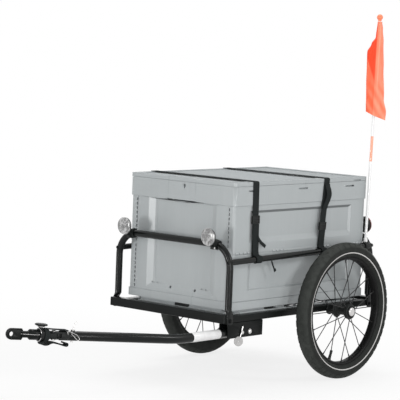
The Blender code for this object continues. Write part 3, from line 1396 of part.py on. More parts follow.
make_drawbar_bracket()
make_pivot_bolt()
fold_joint = joint_at("drawbar_fold_axis", (DRAWBAR_X, PIVOT_Y, DRAWBAR_Z))
hang_on(fold_joint, make_drawbar(), make_hitch_tail(), make_yaw_bolt())
pin_place = HITCH @ Vector((0, HITCH_PIN_BACK - TUBE_END, 0))
hang_on(joint_at("hitch_pin_axis", pin_place), make_hitch_pin())
hang_on(joint_at("lock_pin_axis", (DRAWBAR_X, LOCK_PIN_Y, DRAWBAR_Z)), make_lock_pin())
hang_on(joint_at("hitch_yaw_axis", HITCH @ Vector((0, -YAW_AXIS, 0))), make_receiver(), make_safety_strap())
hang_on(joint_at("plunger_axis", HITCH @ Vector((0, -PLUNGER_AXIS, 0))), make_plunger())
hang_on(joint_at("hitch_roll_axis", HITCH @ Vector((0, -BARREL_START, 0))), make_hitch_arm())

make_tray()
make_side_walls()
make_band()
make_end_wall("crate_front_wall", -1)
make_end_wall("crate_rear_wall", 1)
lid_joint = joint_at("lid_hinge", (LID_HINGE_X, CRATE_Y, LID_HINGE_Z))
hang_on(lid_joint, make_lid())
hang_on(lid_joint, *make_strap("front", FRONT_STRAP_AHEAD, FRONT_BUCKLE_DROP, FRONT_STRAP_LEAN))
hang_on(lid_joint, *make_strap("rear", REAR_STRAP_AHEAD, REAR_BUCKLE_DROP, REAR_STRAP_LEAN))

make_flag_holder()
pole_joint = joint_at("pole_axis", POLE_FRAME @ Vector((0, 0, 0)))
hang_on(pole_joint, make_pole(), make_flag())
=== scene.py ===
"""A folding bicycle trailer: steel frame, two spoked wheels, lidded crate, hinged drawbar and flag."""

import json
import math

import bmesh
import bpy
from mathutils import Matrix, Vector

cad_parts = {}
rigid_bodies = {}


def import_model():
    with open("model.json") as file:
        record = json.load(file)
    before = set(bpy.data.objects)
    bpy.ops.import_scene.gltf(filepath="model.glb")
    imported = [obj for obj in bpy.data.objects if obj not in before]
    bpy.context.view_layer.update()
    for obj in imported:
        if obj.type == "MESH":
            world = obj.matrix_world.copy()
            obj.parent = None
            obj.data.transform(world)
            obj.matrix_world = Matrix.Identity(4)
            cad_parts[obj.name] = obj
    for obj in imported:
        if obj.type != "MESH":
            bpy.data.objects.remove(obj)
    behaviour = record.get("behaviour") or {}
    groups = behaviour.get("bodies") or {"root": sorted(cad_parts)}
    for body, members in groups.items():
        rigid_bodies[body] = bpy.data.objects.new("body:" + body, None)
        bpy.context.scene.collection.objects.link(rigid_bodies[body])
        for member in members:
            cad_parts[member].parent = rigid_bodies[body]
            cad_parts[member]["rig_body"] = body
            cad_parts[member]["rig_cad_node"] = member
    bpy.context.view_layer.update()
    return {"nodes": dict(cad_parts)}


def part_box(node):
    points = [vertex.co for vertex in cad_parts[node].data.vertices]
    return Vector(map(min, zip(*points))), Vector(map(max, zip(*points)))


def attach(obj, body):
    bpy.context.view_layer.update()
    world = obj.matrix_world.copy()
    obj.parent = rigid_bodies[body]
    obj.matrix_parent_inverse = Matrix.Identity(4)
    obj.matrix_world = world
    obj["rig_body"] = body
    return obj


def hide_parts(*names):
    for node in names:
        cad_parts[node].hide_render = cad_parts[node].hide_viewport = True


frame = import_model()

# The studio: a camera well above the crate, a white floor under a white sky, and seven soft lamps. A broad
# one fills from beside the camera, three low strips show as sheen on the crate's slanting faces, and three
# more stand high: on the right behind the wheel, overhead, and behind on the far side.
CAMERA_PLACE = (3.8044902, -4.16251289, 1.01324572)
CAMERA_AXES = (
    (0.74389583, -0.08717618, 0.66258532),
    (0.66714648, 0.03875481, -0.74391776),
    (0.03917354, 0.99543879, 0.08698883),
)
LENS = 180.42
SENSOR = 36
FAR_CLIP = 100
LAMP_AIM = Vector((0, 0.3, 0.3))
# Each lamp's name, place, width, height and power
LAMPS = (
    ("fill_lamp", (2.6, -3.4, 1.6), 2.4, 2.4, 41),
    ("front_strip", (-1.15, -4.0, 0.46), 0.5, 0.86, 50),
    ("corner_strip", (2.9, -2.45, 0.45), 0.45, 0.85, 12),
    ("side_strip", (3.15, -0.90, 0.50), 0.35, 0.95, 22),
    ("key_lamp", (2.7, 1.35, 2.2), 0.7, 0.7, 26),
    ("top_lamp", (-0.4, 0.6, 3.2), 1.6, 1.6, 35),
    ("back_lamp", (-2.6, 2.4, 1.6), 2.0, 2.0, 16),
)
SKY_LIGHT = 0.47
FLOOR_CENTRE = (0, 0.3, 0)
FLOOR_RADIUS = 30
FLOOR_BOUNCE = (0.62, 0.62, 0.62, 1)
# The floor shows its shadows within the first distance from the origin, and hardly any past the second
SHADOW_FADE = (0.5, 1.6)


class Value:
    """A shader socket. Sums on it add Math nodes, and node() adds any other node."""

    def __init__(self, tree, socket=None):
        self.tree = tree
        self.socket = socket

    def node(self, kind, settings, inputs, out=0):
        made = self.tree.nodes.new("ShaderNode" + kind)
        for name, value in settings.items():
            if name == "stops":
                ramp = made.color_ramp.elements
                while len(ramp) < len(value):
                    ramp.new(1.0)
                for stop, (place, colour) in zip(ramp, value):
                    stop.position = place
                    stop.color = (*colour, 1)
            else:
                setattr(made, name, value)
        for name, value in inputs.items():
            if isinstance(value, Value):
                self.tree.links.new(value.socket, made.inputs[name])
            else:
                made.inputs[name].default_value = value
        return Value(self.tree, made.outputs[out])

    def maths(self, operation, *values):
        return self.node("Math", {"operation": operation}, dict(enumerate(values)))

    def wave(self):
        """A sine wave of the value."""
        return self.maths("SINE", self)

    def size(self):
        """How far the value is from 0."""
        return self.maths("ABSOLUTE", self)

    def __add__(self, other):
        return self.maths("ADD", self, other)

    __radd__ = __add__

    def __sub__(self, other):
        return self.maths("SUBTRACT", self, other)

    def __rsub__(self, other):
        return self.maths("SUBTRACT", other, self)

    def __mul__(self, other):
        return self.maths("MULTIPLY", self, other)

    __rmul__ = __mul__

    def eased(self, low, high):
        """0 below low and 1 above high, with a smooth step between."""
        ends = {"Value": self, "From Min": low, "From Max": high}
        return self.node("MapRange", {"interpolation_type": "SMOOTHSTEP"}, ends)

    def band(self, low, high, soft):
        """1 from low to high and 0 outside, with a soft edge within each end."""
        return self.eased(low, low + soft) * (1 - self.eased(high - soft, high))

    def colours(self, first, second):
        """The first colour where this value is 0, the second where it is 1."""
        return self.node("Mix", {"data_type": "RGBA"}, {0: self, 6: first, 7: second}, 2)

    def length(self):
        return self.node("VectorMath", {"operation": "LENGTH"}, {0: self}, "Value")

    def noise(self, scale, detail=2.0):
        return self.node("TexNoise", {}, {"Vector": self, "Scale": scale, "Detail": detail})

    def stretched(self, x, y, z):
        return self.node("Mapping", {}, {"Vector": self, "Scale": (x, y, z)})

    def axis(self, index):
        return self.node("SeparateXYZ", {}, {"Vector": self}, index)

    def bump(self, strength, depth):
        return self.node("Bump", {}, {"Height": self, "Strength": strength, "Distance": depth})


def grey(level, warm=0.0):
    return (level * (1 + warm), level, level * (1 - warm), 1)


def only(*pieces):
    """Leaves just these pieces selected, the first of them active."""
    if bpy.context.mode != "OBJECT":
        bpy.ops.object.mode_set(mode="OBJECT")
    bpy.ops.object.select_all(action="DESELECT")
    for piece in pieces:
        piece.select_set(True)
    if pieces:
        bpy.context.view_layer.objects.active = pieces[0]


def watched(nodes):
    """1 for a ray from the camera, also by way of a shiny or clear surface, and 0 for other light."""
    kinds = ("Is Camera Ray", "Is Glossy Ray", "Is Transmission Ray")
    seen, mirrored, through = (nodes.node("LightPath", {}, {}, kind) for kind in kinds)
    return seen.maths("MAXIMUM", seen, mirrored.maths("MAXIMUM", mirrored, through))


scene = bpy.context.scene
scene.view_settings.view_transform = "Standard"
only()
bpy.ops.object.camera_add()
camera = bpy.context.object
camera.matrix_world = Matrix.Translation(CAMERA_PLACE) @ Matrix(CAMERA_AXES).to_4x4()
camera.data.lens = LENS
camera.data.sensor_width = SENSOR
camera.data.clip_end = FAR_CLIP
scene.camera = camera

for name, place, width, height, power in LAMPS:
    only()
    bpy.ops.object.light_add(type="AREA", location=place)
    lamp = bpy.context.object
    lamp.name = name
    lamp.data.shape = "RECTANGLE"
    lamp.data.size = width
    lamp.data.size_y = height
    lamp.data.energy = power
    lamp.rotation_euler = (LAMP_AIM - Vector(place)).to_track_quat("-Z", "Y").to_euler()

sky = bpy.data.worlds.new("sky")
scene.world = sky
sky.use_nodes = True
sky_nodes = Value(sky.node_tree)
white = sky_nodes.node("Background", {}, {"Color": (1, 1, 1, 1), "Strength": 1.0})
dim = sky_nodes.node("Background", {}, {"Color": (1, 1, 1, 1), "Strength": SKY_LIGHT})
mix = sky_nodes.node("MixShader", {}, {0: watched(sky_nodes), 1: dim, 2: white})
sky.node_tree.links.new(mix.socket, sky.node_tree.nodes["World Output"].inputs["Surface"])

only()
bpy.ops.mesh.primitive_circle_add(vertices=96, radius=FLOOR_RADIUS, fill_type="NGON", location=FLOOR_CENTRE)
floor = bpy.context.object
floor.name = "studio_floor"
bpy.ops.object.transform_apply(location=True, rotation=True, scale=True)
floor_paint = bpy.data.materials.new("white floor")
floor_paint.use_nodes = True
floor_nodes = Value(floor_paint.node_tree)
spot = floor_nodes.node("TexCoord", {}, {}, "Object")
dust = spot.noise(35).eased(0.3, 0.7).colours(grey(0.88), grey(0.9))
bounced = floor_nodes.node("LightPath", {}, {}, "Is Diffuse Ray")
matt = floor_nodes.node("BsdfDiffuse", {}, {"Color": bounced.colours(dust, FLOOR_BOUNCE)})
lit = floor_nodes.node("Emission", {}, {"Color": (1, 1, 1, 1), "Strength": 1.0})
shown = watched(floor_nodes) * (0.8 + 0.2 * spot.length().eased(*SHADOW_FADE))
mix = floor_nodes.node("MixShader", {}, {0: shown, 1: matt, 2: lit})
floor_output = floor_paint.node_tree.nodes["Material Output"]
floor_paint.node_tree.links.new(mix.socket, floor_output.inputs["Surface"])
floor.data.materials.append(floor_paint)


# The rails: two square cross tubes, two flat side tubes and a flat bar under the middle of the crate,
# welded steel in black powder coat. The open tube ends are closed with pushed-in plastic plugs.
TUBE_EDGE = 0.0025
TUBE_WALL = 0.0016
PLUG_DEPTH = 0.0008
# Each rail's node, and the axis that it runs along
RAILS = (
    ("front_cross_rail", 0),
    ("rear_cross_rail", 0),
    ("left_side_rail", 1),
    ("right_side_rail", 1),
    ("deck_bar", 0),
)
# A unit direction counts as along an axis from this share of it
ALONG = 0.9
# Faces larger than this are shaded flat, in square metres, so that the rounded edges beside them don't show
FLAT_AREA = 0.0002
COAT_BLACK = ((0.0040, 0.0048, 0.0046, 1), (0.0072, 0.0084, 0.0080, 1))
PLASTIC_BLACK = ((0.0070, 0.0080, 0.0078, 1), (0.0120, 0.0136, 0.0130, 1))


def new_finish(name, slot, roughness=0.5, metallic=0.0, **levels):
    """A new material: it, its shader, and the place on the piece that its patterns read."""
    finish = bpy.data.materials.new(name)
    finish.use_nodes = True
    shader = finish.node_tree.nodes["Principled BSDF"]
    shader.inputs["Roughness"].default_value = roughness
    shader.inputs["Metallic"].default_value = metallic
    for level, value in levels.items():
        shader.inputs[level.replace("_", " ").title().replace("Ior", "IOR")].default_value = value
    place = Value(finish.node_tree).node("TexCoord", {}, {}, "Object")
    return finish, shader, place


def coat(shader, **sockets):
    """Links values to a shader's sockets."""
    for name, value in sockets.items():
        socket = shader.inputs[name.replace("_", " ").title()]
        value.tree.links.new(value.socket, socket)


def coated_steel(name, gloss, rough):
    """Black powder coat on steel, slightly clouded, with a fine orange peel."""
    finish, shader, place = new_finish(name, "frame_paint", specular_ior_level=gloss)
    cloud = place.noise(14, 3)
    peel = place.noise(1300, 1).bump(0.14, 0.0006)
    coat(shader, base_color=cloud.colours(*COAT_BLACK), roughness=rough + 0.14 * cloud, normal=peel)
    return finish


powder_coat = coated_steel("black powder coat", 0.11, 0.24)
tube_coat = coated_steel("glossy black powder coat", 0.20, 0.15)

black_plastic, shader, place = new_finish("moulded black plastic", "black_plastic", specular_ior_level=0.22)
grain = place.noise(2100, 2)
flow = place.stretched(1, 1, 0.3).noise(40, 3)
coat(
    shader,
    base_color=flow.colours(*PLASTIC_BLACK),
    roughness=0.42 + 0.22 * flow,
    normal=grain.bump(0.3, 0.0005),
)


def open_whole(piece):
    """Opens a piece in edit mode with all of it selected."""
    only(piece)
    bpy.ops.object.mode_set(mode="EDIT")
    bpy.ops.mesh.select_all(action="SELECT")


def block(name, first, second):
    """A box between two opposite corners."""
    only()
    low = Vector(min(pair) for pair in zip(first, second))
    high = Vector(max(pair) for pair in zip(first, second))
    bpy.ops.mesh.primitive_cube_add(size=1, location=(low + high) / 2, scale=high - low)
    piece = bpy.context.object
    piece.name = name
    bpy.ops.object.transform_apply(location=True, rotation=True, scale=True)
    return piece


def pick(piece, test, kind="FACE"):
    """In edit mode, selects the faces, edges or points whose middle and direction pass a test."""
    only(piece)
    bpy.ops.object.mode_set(mode="EDIT")
    bpy.ops.mesh.select_mode(type=kind)
    bpy.ops.mesh.select_all(action="DESELECT")
    mesh = bmesh.from_edit_mesh(piece.data)
    if kind == "FACE":
        found = [face for face in mesh.faces if test(face.calc_center_median(), face.normal)]
    elif kind == "EDGE":
        found = []
        for edge in mesh.edges:
            start, end = (vert.co for vert in edge.verts)
            if test((start + end) / 2, (end - start).normalized()):
                found.append(edge)
    else:
        found = [vert for vert in mesh.verts if test(vert.co, vert.normal)]
    for item in found:
        item.select_set(True)
    bmesh.update_edit_mesh(piece.data)


def round_edges(piece, test, radius, steps=3):
    """Rounds over the edges that pass a test."""
    pick(piece, test, "EDGE")
    bpy.ops.mesh.bevel(offset=radius, segments=steps, affect="EDGES")
    only(piece)


def stretch_to(piece, low, high):
    """Moves and stretches what is selected to fill the box between two corners."""
    mesh = bmesh.from_edit_mesh(piece.data)
    points = [vert.co for vert in mesh.verts if vert.select]
    start = Vector(min(point[k] for point in points) for k in range(3))
    end = Vector(max(point[k] for point in points) for k in range(3))
    middle = (start + end) / 2
    scale = [(high[k] - low[k]) / (end[k] - start[k]) if end[k] - start[k] > 1e-6 else 1 for k in range(3)]
    bpy.ops.transform.resize(value=scale, center_override=middle)
    bpy.ops.transform.translate(value=(Vector(low) + Vector(high)) / 2 - middle)


def modify(piece, kind, **settings):
    """Adds a modifier and applies it."""
    only(piece)
    bpy.ops.object.modifier_add(type=kind)
    modifier = piece.modifiers[-1]
    for name, value in settings.items():
        setattr(modifier, name, value)
    bpy.ops.object.modifier_apply(modifier=modifier.name)


def soften(piece, width, steps=2, angle=32):
    """Rounds over each edge that is sharper than an angle."""
    limit = math.radians(angle)
    modify(piece, "BEVEL", width=width, segments=steps, limit_method="ANGLE", angle_limit=limit)


def paint_picked(piece, finish, other):
    """Finishes a piece in one material, and the faces picked in edit mode in another."""
    piece.data.materials.append(finish)
    piece.data.materials.append(other)
    piece.active_material_index = 1
    bpy.ops.object.material_slot_assign()
    only(piece)


def fit(piece, body, finish, *nodes, smooth=38, flat=False):
    """Finishes a piece, hangs it on its body and hides the plain solids that it stands for."""
    only(piece)
    bpy.ops.object.transform_apply(location=True, rotation=True, scale=True)
    if not piece.data.materials:
        piece.data.materials.append(finish)
    bpy.ops.object.shade_smooth_by_angle(angle=math.radians(smooth))
    if flat:
        for face in piece.data.polygons:
            if face.area > FLAT_AREA:
                face.use_smooth = False
        modify(piece, "WEIGHTED_NORMAL", keep_sharp=True)
    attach(piece, body)
    if nodes:
        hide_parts(*nodes)
    return piece


for node, axis in RAILS:
    rail = block("coated_" + node, *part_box(node))
    round_edges(rail, lambda middle, way: abs(way[axis]) > ALONG, TUBE_EDGE)
    pick(rail, lambda middle, normal: abs(normal[axis]) > ALONG)
    bpy.ops.mesh.inset(thickness=TUBE_WALL, use_individual=True)
    bpy.ops.mesh.extrude_region_shrink_fatten(TRANSFORM_OT_shrink_fatten={"value": -PLUG_DEPTH})
    paint_picked(rail, powder_coat, black_plastic)
    fit(rail, "frame", powder_coat, node)


# The hoops: one bent steel tube over each end of the crate, in black powder coat. Its feet are pressed flat
# and bolted to the ends of the side rails with black bolts.
POST_X = 0.2124
POST_RADIUS = 0.00975
HOOP_BEND = 0.065
HOOP_TOP = 0.409
HOOPS = (("front", -1, 0.0059), ("rear", 1, 0.6439))
FOOT_TOP = 0.2330
# Down the foot: the height, half of its thickness and half of its width
FOOT_PRESS = (
    (0.2285, 0.0090, 0.0104), (0.2225, 0.0055, 0.0126), (0.2170, 0.0019, 0.0138), (0.1990, 0.0019, 0.0138),
    (0.1928, 0.0019, 0.0128), (0.1896, 0.0017, 0.0090), (0.1884, 0.0012, 0.0040),
)
FOOT_OUTER_X = 0.2216
FOOT_BOLT_X = 0.2214
FOOT_BOLT_Z = 0.2000
FOOT_BOLT_RADIUS = 0.0048
FOOT_BOLT_HEIGHT = 0.0042
SIDES = (("left", 1), ("right", -1))

zinc, shader, place = new_finish("zinc plated steel", "zinc_steel", metallic=1.0)
tarnish = place.noise(260, 3)
scratch = place.stretched(1, 14, 1).noise(420, 1)
coat(
    shader,
    base_color=tarnish.colours(grey(0.55, 0.01), grey(0.68, 0.015)),
    roughness=0.2 + 0.2 * tarnish,
    normal=scratch.bump(0.12, 0.0003),
)


def trace(name, points):
    """A line of edges through points, left in edit mode with all of it selected."""
    only()
    bpy.ops.mesh.primitive_plane_add(size=0.001, location=points[0])
    line = bpy.context.object
    line.name = name
    bpy.ops.object.transform_apply(location=True, rotation=True, scale=True)
    bpy.ops.object.mode_set(mode="EDIT")
    bpy.ops.mesh.select_mode(type="VERT")
    bpy.ops.mesh.select_all(action="SELECT")
    bpy.ops.mesh.merge(type="CENTER")
    for start, end in zip(points, points[1:]):
        step = Vector(end) - Vector(start)
        bpy.ops.mesh.extrude_vertices_move(TRANSFORM_OT_translate={"value": step})
    bpy.ops.mesh.select_all(action="SELECT")
    bpy.ops.mesh.remove_doubles(threshold=1e-5)
    return line


def close_facing_out(piece):
    """Turns the selected faces outwards and leaves edit mode."""
    bpy.ops.mesh.normals_make_consistent(inside=False)
    only(piece)


def bends(corners, radius, steps=8):
    """A path through corners, each turned through with the same bend radius."""
    corners = [Vector(corner) for corner in corners]
    path = [corners[0]]
    for before, corner, after in zip(corners, corners[1:], corners[2:]):
        into = (corner - before).normalized()
        out = (after - corner).normalized()
        turn = into.angle(out)
        reach = radius * math.tan(turn / 2)
        centre = corner - into * reach + (out - into * into.dot(out)).normalized() * radius
        axis = into.cross(out).normalized()
        arm = corner - into * reach - centre
        path += [centre + Matrix.Rotation(turn * k / steps, 3, axis) @ arm for k in range(steps + 1)]
    return path + [corners[-1]]


def bent_rod(name, points, radius, sides=16):
    """A round bar or wire along a path, with closed ends."""
    piece = trace(name, points)
    only(piece)
    bpy.ops.object.convert(target="CURVE")
    piece = bpy.context.object
    piece.data.bevel_depth = radius
    piece.data.bevel_resolution = (sides - 4) // 2
    piece.data.use_fill_caps = True
    bpy.ops.object.convert(target="MESH")
    piece = bpy.context.object
    open_whole(piece)
    bpy.ops.mesh.remove_doubles(threshold=1e-6)
    close_facing_out(piece)
    return piece


def lathe(name, profile, centre, axis, segments=32):
    """A turned piece: its profile as (distance along the axis, radius) from a centre."""
    axis = Vector(axis).normalized()
    across = axis.orthogonal().normalized()
    centre = Vector(centre)
    piece = trace(name, [centre + axis * along + across * radius for along, radius in profile])
    bpy.ops.mesh.spin(steps=segments, angle=math.tau, center=centre, axis=axis)
    bpy.ops.mesh.select_all(action="SELECT")
    bpy.ops.mesh.remove_doubles(threshold=1e-5)
    close_facing_out(piece)
    return piece


def peg(name, start, end, radius, sides=24):
    """A plain round bar between two points."""
    start, end = Vector(start), Vector(end)
    only()
    bpy.ops.mesh.primitive_cylinder_add(
        vertices=sides, radius=radius, depth=(end - start).length, location=(start + end) / 2,
        rotation=(end - start).to_track_quat("Z", "Y").to_euler(),
    )
    piece = bpy.context.object
    piece.name = name
    bpy.ops.object.transform_apply(location=True, rotation=True, scale=True)
    return piece


def joined(name, *pieces):
    """Joins pieces into one, without uniting their shapes."""
    only(*pieces)
    bpy.ops.object.join()
    pieces[0].name = name
    return pieces[0]


def bolt_head(name, centre, axis, radius, height):
    """A black hexagon head on its washer, facing along an axis."""
    centre, axis = Vector(centre), Vector(axis)
    washer = [(0, 0), (0, radius * 1.35), (height * 0.22, radius * 1.35), (height * 0.3, radius * 1.2)]
    piece = lathe(name, washer + [(height * 0.3, 0)], centre, axis, 24)
    head = peg("head", centre + axis * height * 0.24, centre + axis * height, radius * 1.05, 6)
    soften(head, radius * 0.12, 2)
    fit(joined(name, piece, head), "frame", powder_coat)


for place_name, end, hoop_y in HOOPS:
    corners = [(-POST_X, hoop_y, FOOT_TOP), (-POST_X, hoop_y, HOOP_TOP)]
    corners += [(POST_X, hoop_y, HOOP_TOP), (POST_X, hoop_y, FOOT_TOP)]
    hoop = bent_rod(place_name + "_hoop_tube", bends(corners, HOOP_BEND, 12), POST_RADIUS, 28)
    for label, side in SIDES:
        pick(hoop, lambda middle, normal: middle.x * side > 0 and middle.z < FOOT_TOP + 0.001)
        before = FOOT_TOP
        for height, half, wide in FOOT_PRESS:
            bpy.ops.mesh.extrude_region_move(TRANSFORM_OT_translate={"value": (0, 0, height - before)})
            across = sorted((side * FOOT_OUTER_X, side * (FOOT_OUTER_X - 2 * half)))
            stretch_to(hoop, (across[0], hoop_y - wide, height), (across[1], hoop_y + wide, height))
            before = height
        only(hoop)
        tip = (side * FOOT_BOLT_X, hoop_y, FOOT_BOLT_Z)
        bolt_head(f"{place_name}_{label}_foot_bolt", tip, (side, 0, 0), FOOT_BOLT_RADIUS, FOOT_BOLT_HEIGHT)
    fit(hoop, "frame", tube_coat, place_name + "_hoop", smooth=50)


# The guard bars: a plain steel tube down each side, from hoop to hoop, that the straps are looped round.
# Each is fixed to the posts by dome-headed screws, black at the front and zinc at the rear.
GUARD_RADIUS = 0.0085
GUARD_FRONT_Z = 0.362
GUARD_REAR_Z = 0.375
BAR_SCREW_RADIUS = 0.0052
BAR_SCREW_SINK = 0.0006


def guard_z(y):
    share = (y - HOOPS[0][2]) / (HOOPS[1][2] - HOOPS[0][2])
    return GUARD_FRONT_Z + (GUARD_REAR_Z - GUARD_FRONT_Z) * share


def dome_screw(name, centre, axis, radius, finish=zinc):
    """A domed screw head with a round socket, facing along an axis."""
    rise = radius * 0.62
    profile = [(0, 0), (0, radius), (rise * 0.3, radius * 0.98), (rise * 0.7, radius * 0.8)]
    profile += [(rise, radius * 0.45), (rise * 0.5, radius * 0.42), (rise * 0.5, 0)]
    return fit(lathe(name, profile, centre, axis, 18), "frame", finish)


for label, side in SIDES:
    ends = [(side * POST_X, y, guard_z(y)) for _, _, y in HOOPS]
    bar = bent_rod(label + "_guard_tube", ends, GUARD_RADIUS, 28)
    fit(bar, "frame", tube_coat, label + "_guard_bar", smooth=50)
    for place_name, end, y in HOOPS:
        place = (side * POST_X, y + end * (POST_RADIUS - BAR_SCREW_SINK), guard_z(y))
        finish = zinc if end > 0 else powder_coat
        dome_screw(f"{place_name}_{label}_bar_screw", place, (0, end, 0), BAR_SCREW_RADIUS, finish)


# The reflectors: a domed prism lens in a black plastic cup, clear in front and red behind, each held out
# from the hoop by a moulded clamp that a small screw closes round the tube.
REFLECTOR_X = 0.161
REFLECTOR_Z = 0.431
REFLECTOR_BACK = 0.0292
LENS_CELL = 0.0042
# Each lens's dark and pale colours, between which its painted glints are mottled, and the colour of its faint
# painted glow
CLEAR = (grey(0.07), grey(0.46), grey(0.9))
RED = ((0.035, 0.004, 0.004, 1), (0.42, 0.02, 0.02, 1), (0.4, 0.01, 0.01, 1))
# Turned outlines, as (distance along the axis, radius)
CUP_PROFILE = (
    (0.0006, 0), (0.0002, 0.016), (0.0012, 0.0205), (0.0045, 0.0241), (0.0072, 0.0247), (0.0078, 0.0244),
    (0.0078, 0),
)
LENS_PROFILE = (
    (0.0079, 0), (0.0079, 0.0246), (0.0088, 0.0250), (0.0104, 0.0249), (0.0112, 0.0240), (0.0110, 0.0228),
    (0.0121, 0.0205), (0.0130, 0.0165), (0.0137, 0.010), (0.0140, 0),
)
CLAMP_PROFILE = (
    (-0.008, 0.0098), (-0.008, 0.0132), (-0.0068, 0.0140), (0.0068, 0.0140), (0.008, 0.0132),
    (0.008, 0.0098), (-0.008, 0.0098),
)
NECK_HALF = 0.0062
NECK_RISE = 0.0085
NECK_START = 0.0085
NECK_END = 0.0290
CRADLE_HALF = 0.0065
CRADLE_Z = (-0.0185, 0.0095)
LUG_HALF = 0.0055
LUG_OUT = 0.0155
LUG_DEPTH = 0.006
LUG_Z = (-0.0124, -0.0040)
CLAMP_SCREW_Z = -0.0084
CLAMP_SCREW_RADIUS = 0.0030


def lens_finish(name, slot, dark, pale, painted_glow):
    """Moulded prisms behind a smooth face, with painted glints: mottled pale where the prisms throw the light
    back, and a faint painted glow.
    """
    finish, shader, place = new_finish(name, slot, roughness=0.12, coat_weight=0.6)
    layout = {"Vector": place, "Scale": 1 / LENS_CELL, "Randomness": 0.6}
    cells = place.node("TexVoronoi", {"feature": "F1"}, layout)
    facet = cells.eased(0.0, 0.8)
    painted_glint_mottle = place.noise(95, 3).eased(0.42, 0.60)
    coat(
        shader,
        base_color=(facet * 0.3 + painted_glint_mottle * 0.7).colours(dark, pale),
        normal=(facet + painted_glint_mottle * 0.8).bump(0.6, 0.0016),
    )
    # A faint painted glow, though the lens is no lamp.
    shader.inputs["Emission Strength"].default_value = 0.03
    shader.inputs["Emission Color"].default_value = painted_glow
    return finish


clear_lens = lens_finish("clear prism lens", "clear_lens", *CLEAR)
red_lens = lens_finish("red prism lens", "red_lens", *RED)
# The places where a hoop's bend carries a reflector: its height there, and how far it slopes
sunk = max(0.0, REFLECTOR_X - POST_X + HOOP_BEND)
ring_z = HOOP_TOP - HOOP_BEND + math.sqrt(HOOP_BEND**2 - sunk**2)
slope = math.asin(sunk / HOOP_BEND)

for place_name, end, hoop_y in HOOPS:
    outwards = (0, end, 0)
    finish = clear_lens if end < 0 else red_lens
    for label, side in SIDES:
        name = f"{place_name}_{label}_reflector"
        centre_x = side * REFLECTOR_X
        centre = (centre_x, hoop_y + end * REFLECTOR_BACK, REFLECTOR_Z)
        fit(lathe(name + "_cup", CUP_PROFILE, centre, outwards, 48), "frame", black_plastic)
        lens = lathe(name + "_lens", LENS_PROFILE, centre, outwards, 48)
        fit(lens, "frame", finish, name, smooth=40)

        along = (math.cos(slope), 0, -side * math.sin(slope))
        ring = lathe("ring", CLAMP_PROFILE, (centre_x, hoop_y, ring_z), along, 36)
        far_y = hoop_y + end * NECK_END
        near = (centre_x - NECK_HALF, hoop_y + end * NECK_START, ring_z - NECK_RISE)
        neck = block("neck", near, (centre_x + NECK_HALF, far_y, ring_z + NECK_RISE))
        pick(neck, lambda middle, normal: normal.y * end > ALONG)
        stretch_to(
            neck,
            (centre_x - CRADLE_HALF, far_y, REFLECTOR_Z + CRADLE_Z[0]),
            (centre_x + CRADLE_HALF, far_y, REFLECTOR_Z + CRADLE_Z[1]),
        )
        soften(neck, 0.0014, 2)
        lug_y = hoop_y + end * LUG_OUT
        low = (centre_x - LUG_HALF, lug_y - LUG_DEPTH, ring_z + LUG_Z[0])
        lug = block("lug", low, (centre_x + LUG_HALF, lug_y + LUG_DEPTH, ring_z + LUG_Z[1]))
        soften(lug, 0.0012, 2)
        clamp = joined(name + "_clamp_ring", ring, neck, lug)
        fit(clamp, "frame", black_plastic, name + "_clamp")
        tip = (side * (REFLECTOR_X + LUG_HALF), lug_y, ring_z + CLAMP_SCREW_Z)
        dome_screw(name + "_clamp_screw", tip, (side, 0, 0), CLAMP_SCREW_RADIUS)


# The wheels: a 16-inch tyre with a reflecting stripe round each wall, on a deep black alloy rim with
# twenty dark steel spokes and nipples, laced to a black hub. A rubber valve stands in each rim.
WHEEL_X = 0.267
AXLE = Vector((0, 0.4529, 0.2))
TYRE_SEGMENTS = 144
# Half of the tyre's section, from the crown to the bead, as (distance from its middle, radius)
TYRE_SECTION = (
    (0.0, 0.1985), (0.0042, 0.19835), (0.0052, 0.1982), (0.0108, 0.1969), (0.0120, 0.1963),
    (0.0168, 0.1926), (0.0194, 0.1893), (0.0208, 0.1865), (0.0216, 0.1832), (0.0219, 0.1800),
    (0.0220, 0.1782), (0.0220, 0.1754), (0.0218, 0.1738), (0.0215, 0.1716), (0.0208, 0.1690),
    (0.0203, 0.1680), (0.0194, 0.1668), (0.0176, 0.1634), (0.0150, 0.1600), (0.0126, 0.1584),
)
TREAD_RISE = 0.0009
# How far from the tyre's middle its rib ends, its row of blocks starts and ends, and its shoulder starts
TREAD_RIB = 0.0052
TREAD_ROW = (0.0053, 0.0120)
TREAD_SHOULDER = 0.0125
TREAD_LOW = 0.187
STRIPE_LOW = 0.1696
STRIPE_HIGH = 0.1728
WALL_BLACK = ((0.011, 0.012, 0.011, 1), (0.021, 0.023, 0.021, 1))
TREAD_GREY = ((0.022, 0.024, 0.022, 1), (0.046, 0.050, 0.046, 1))
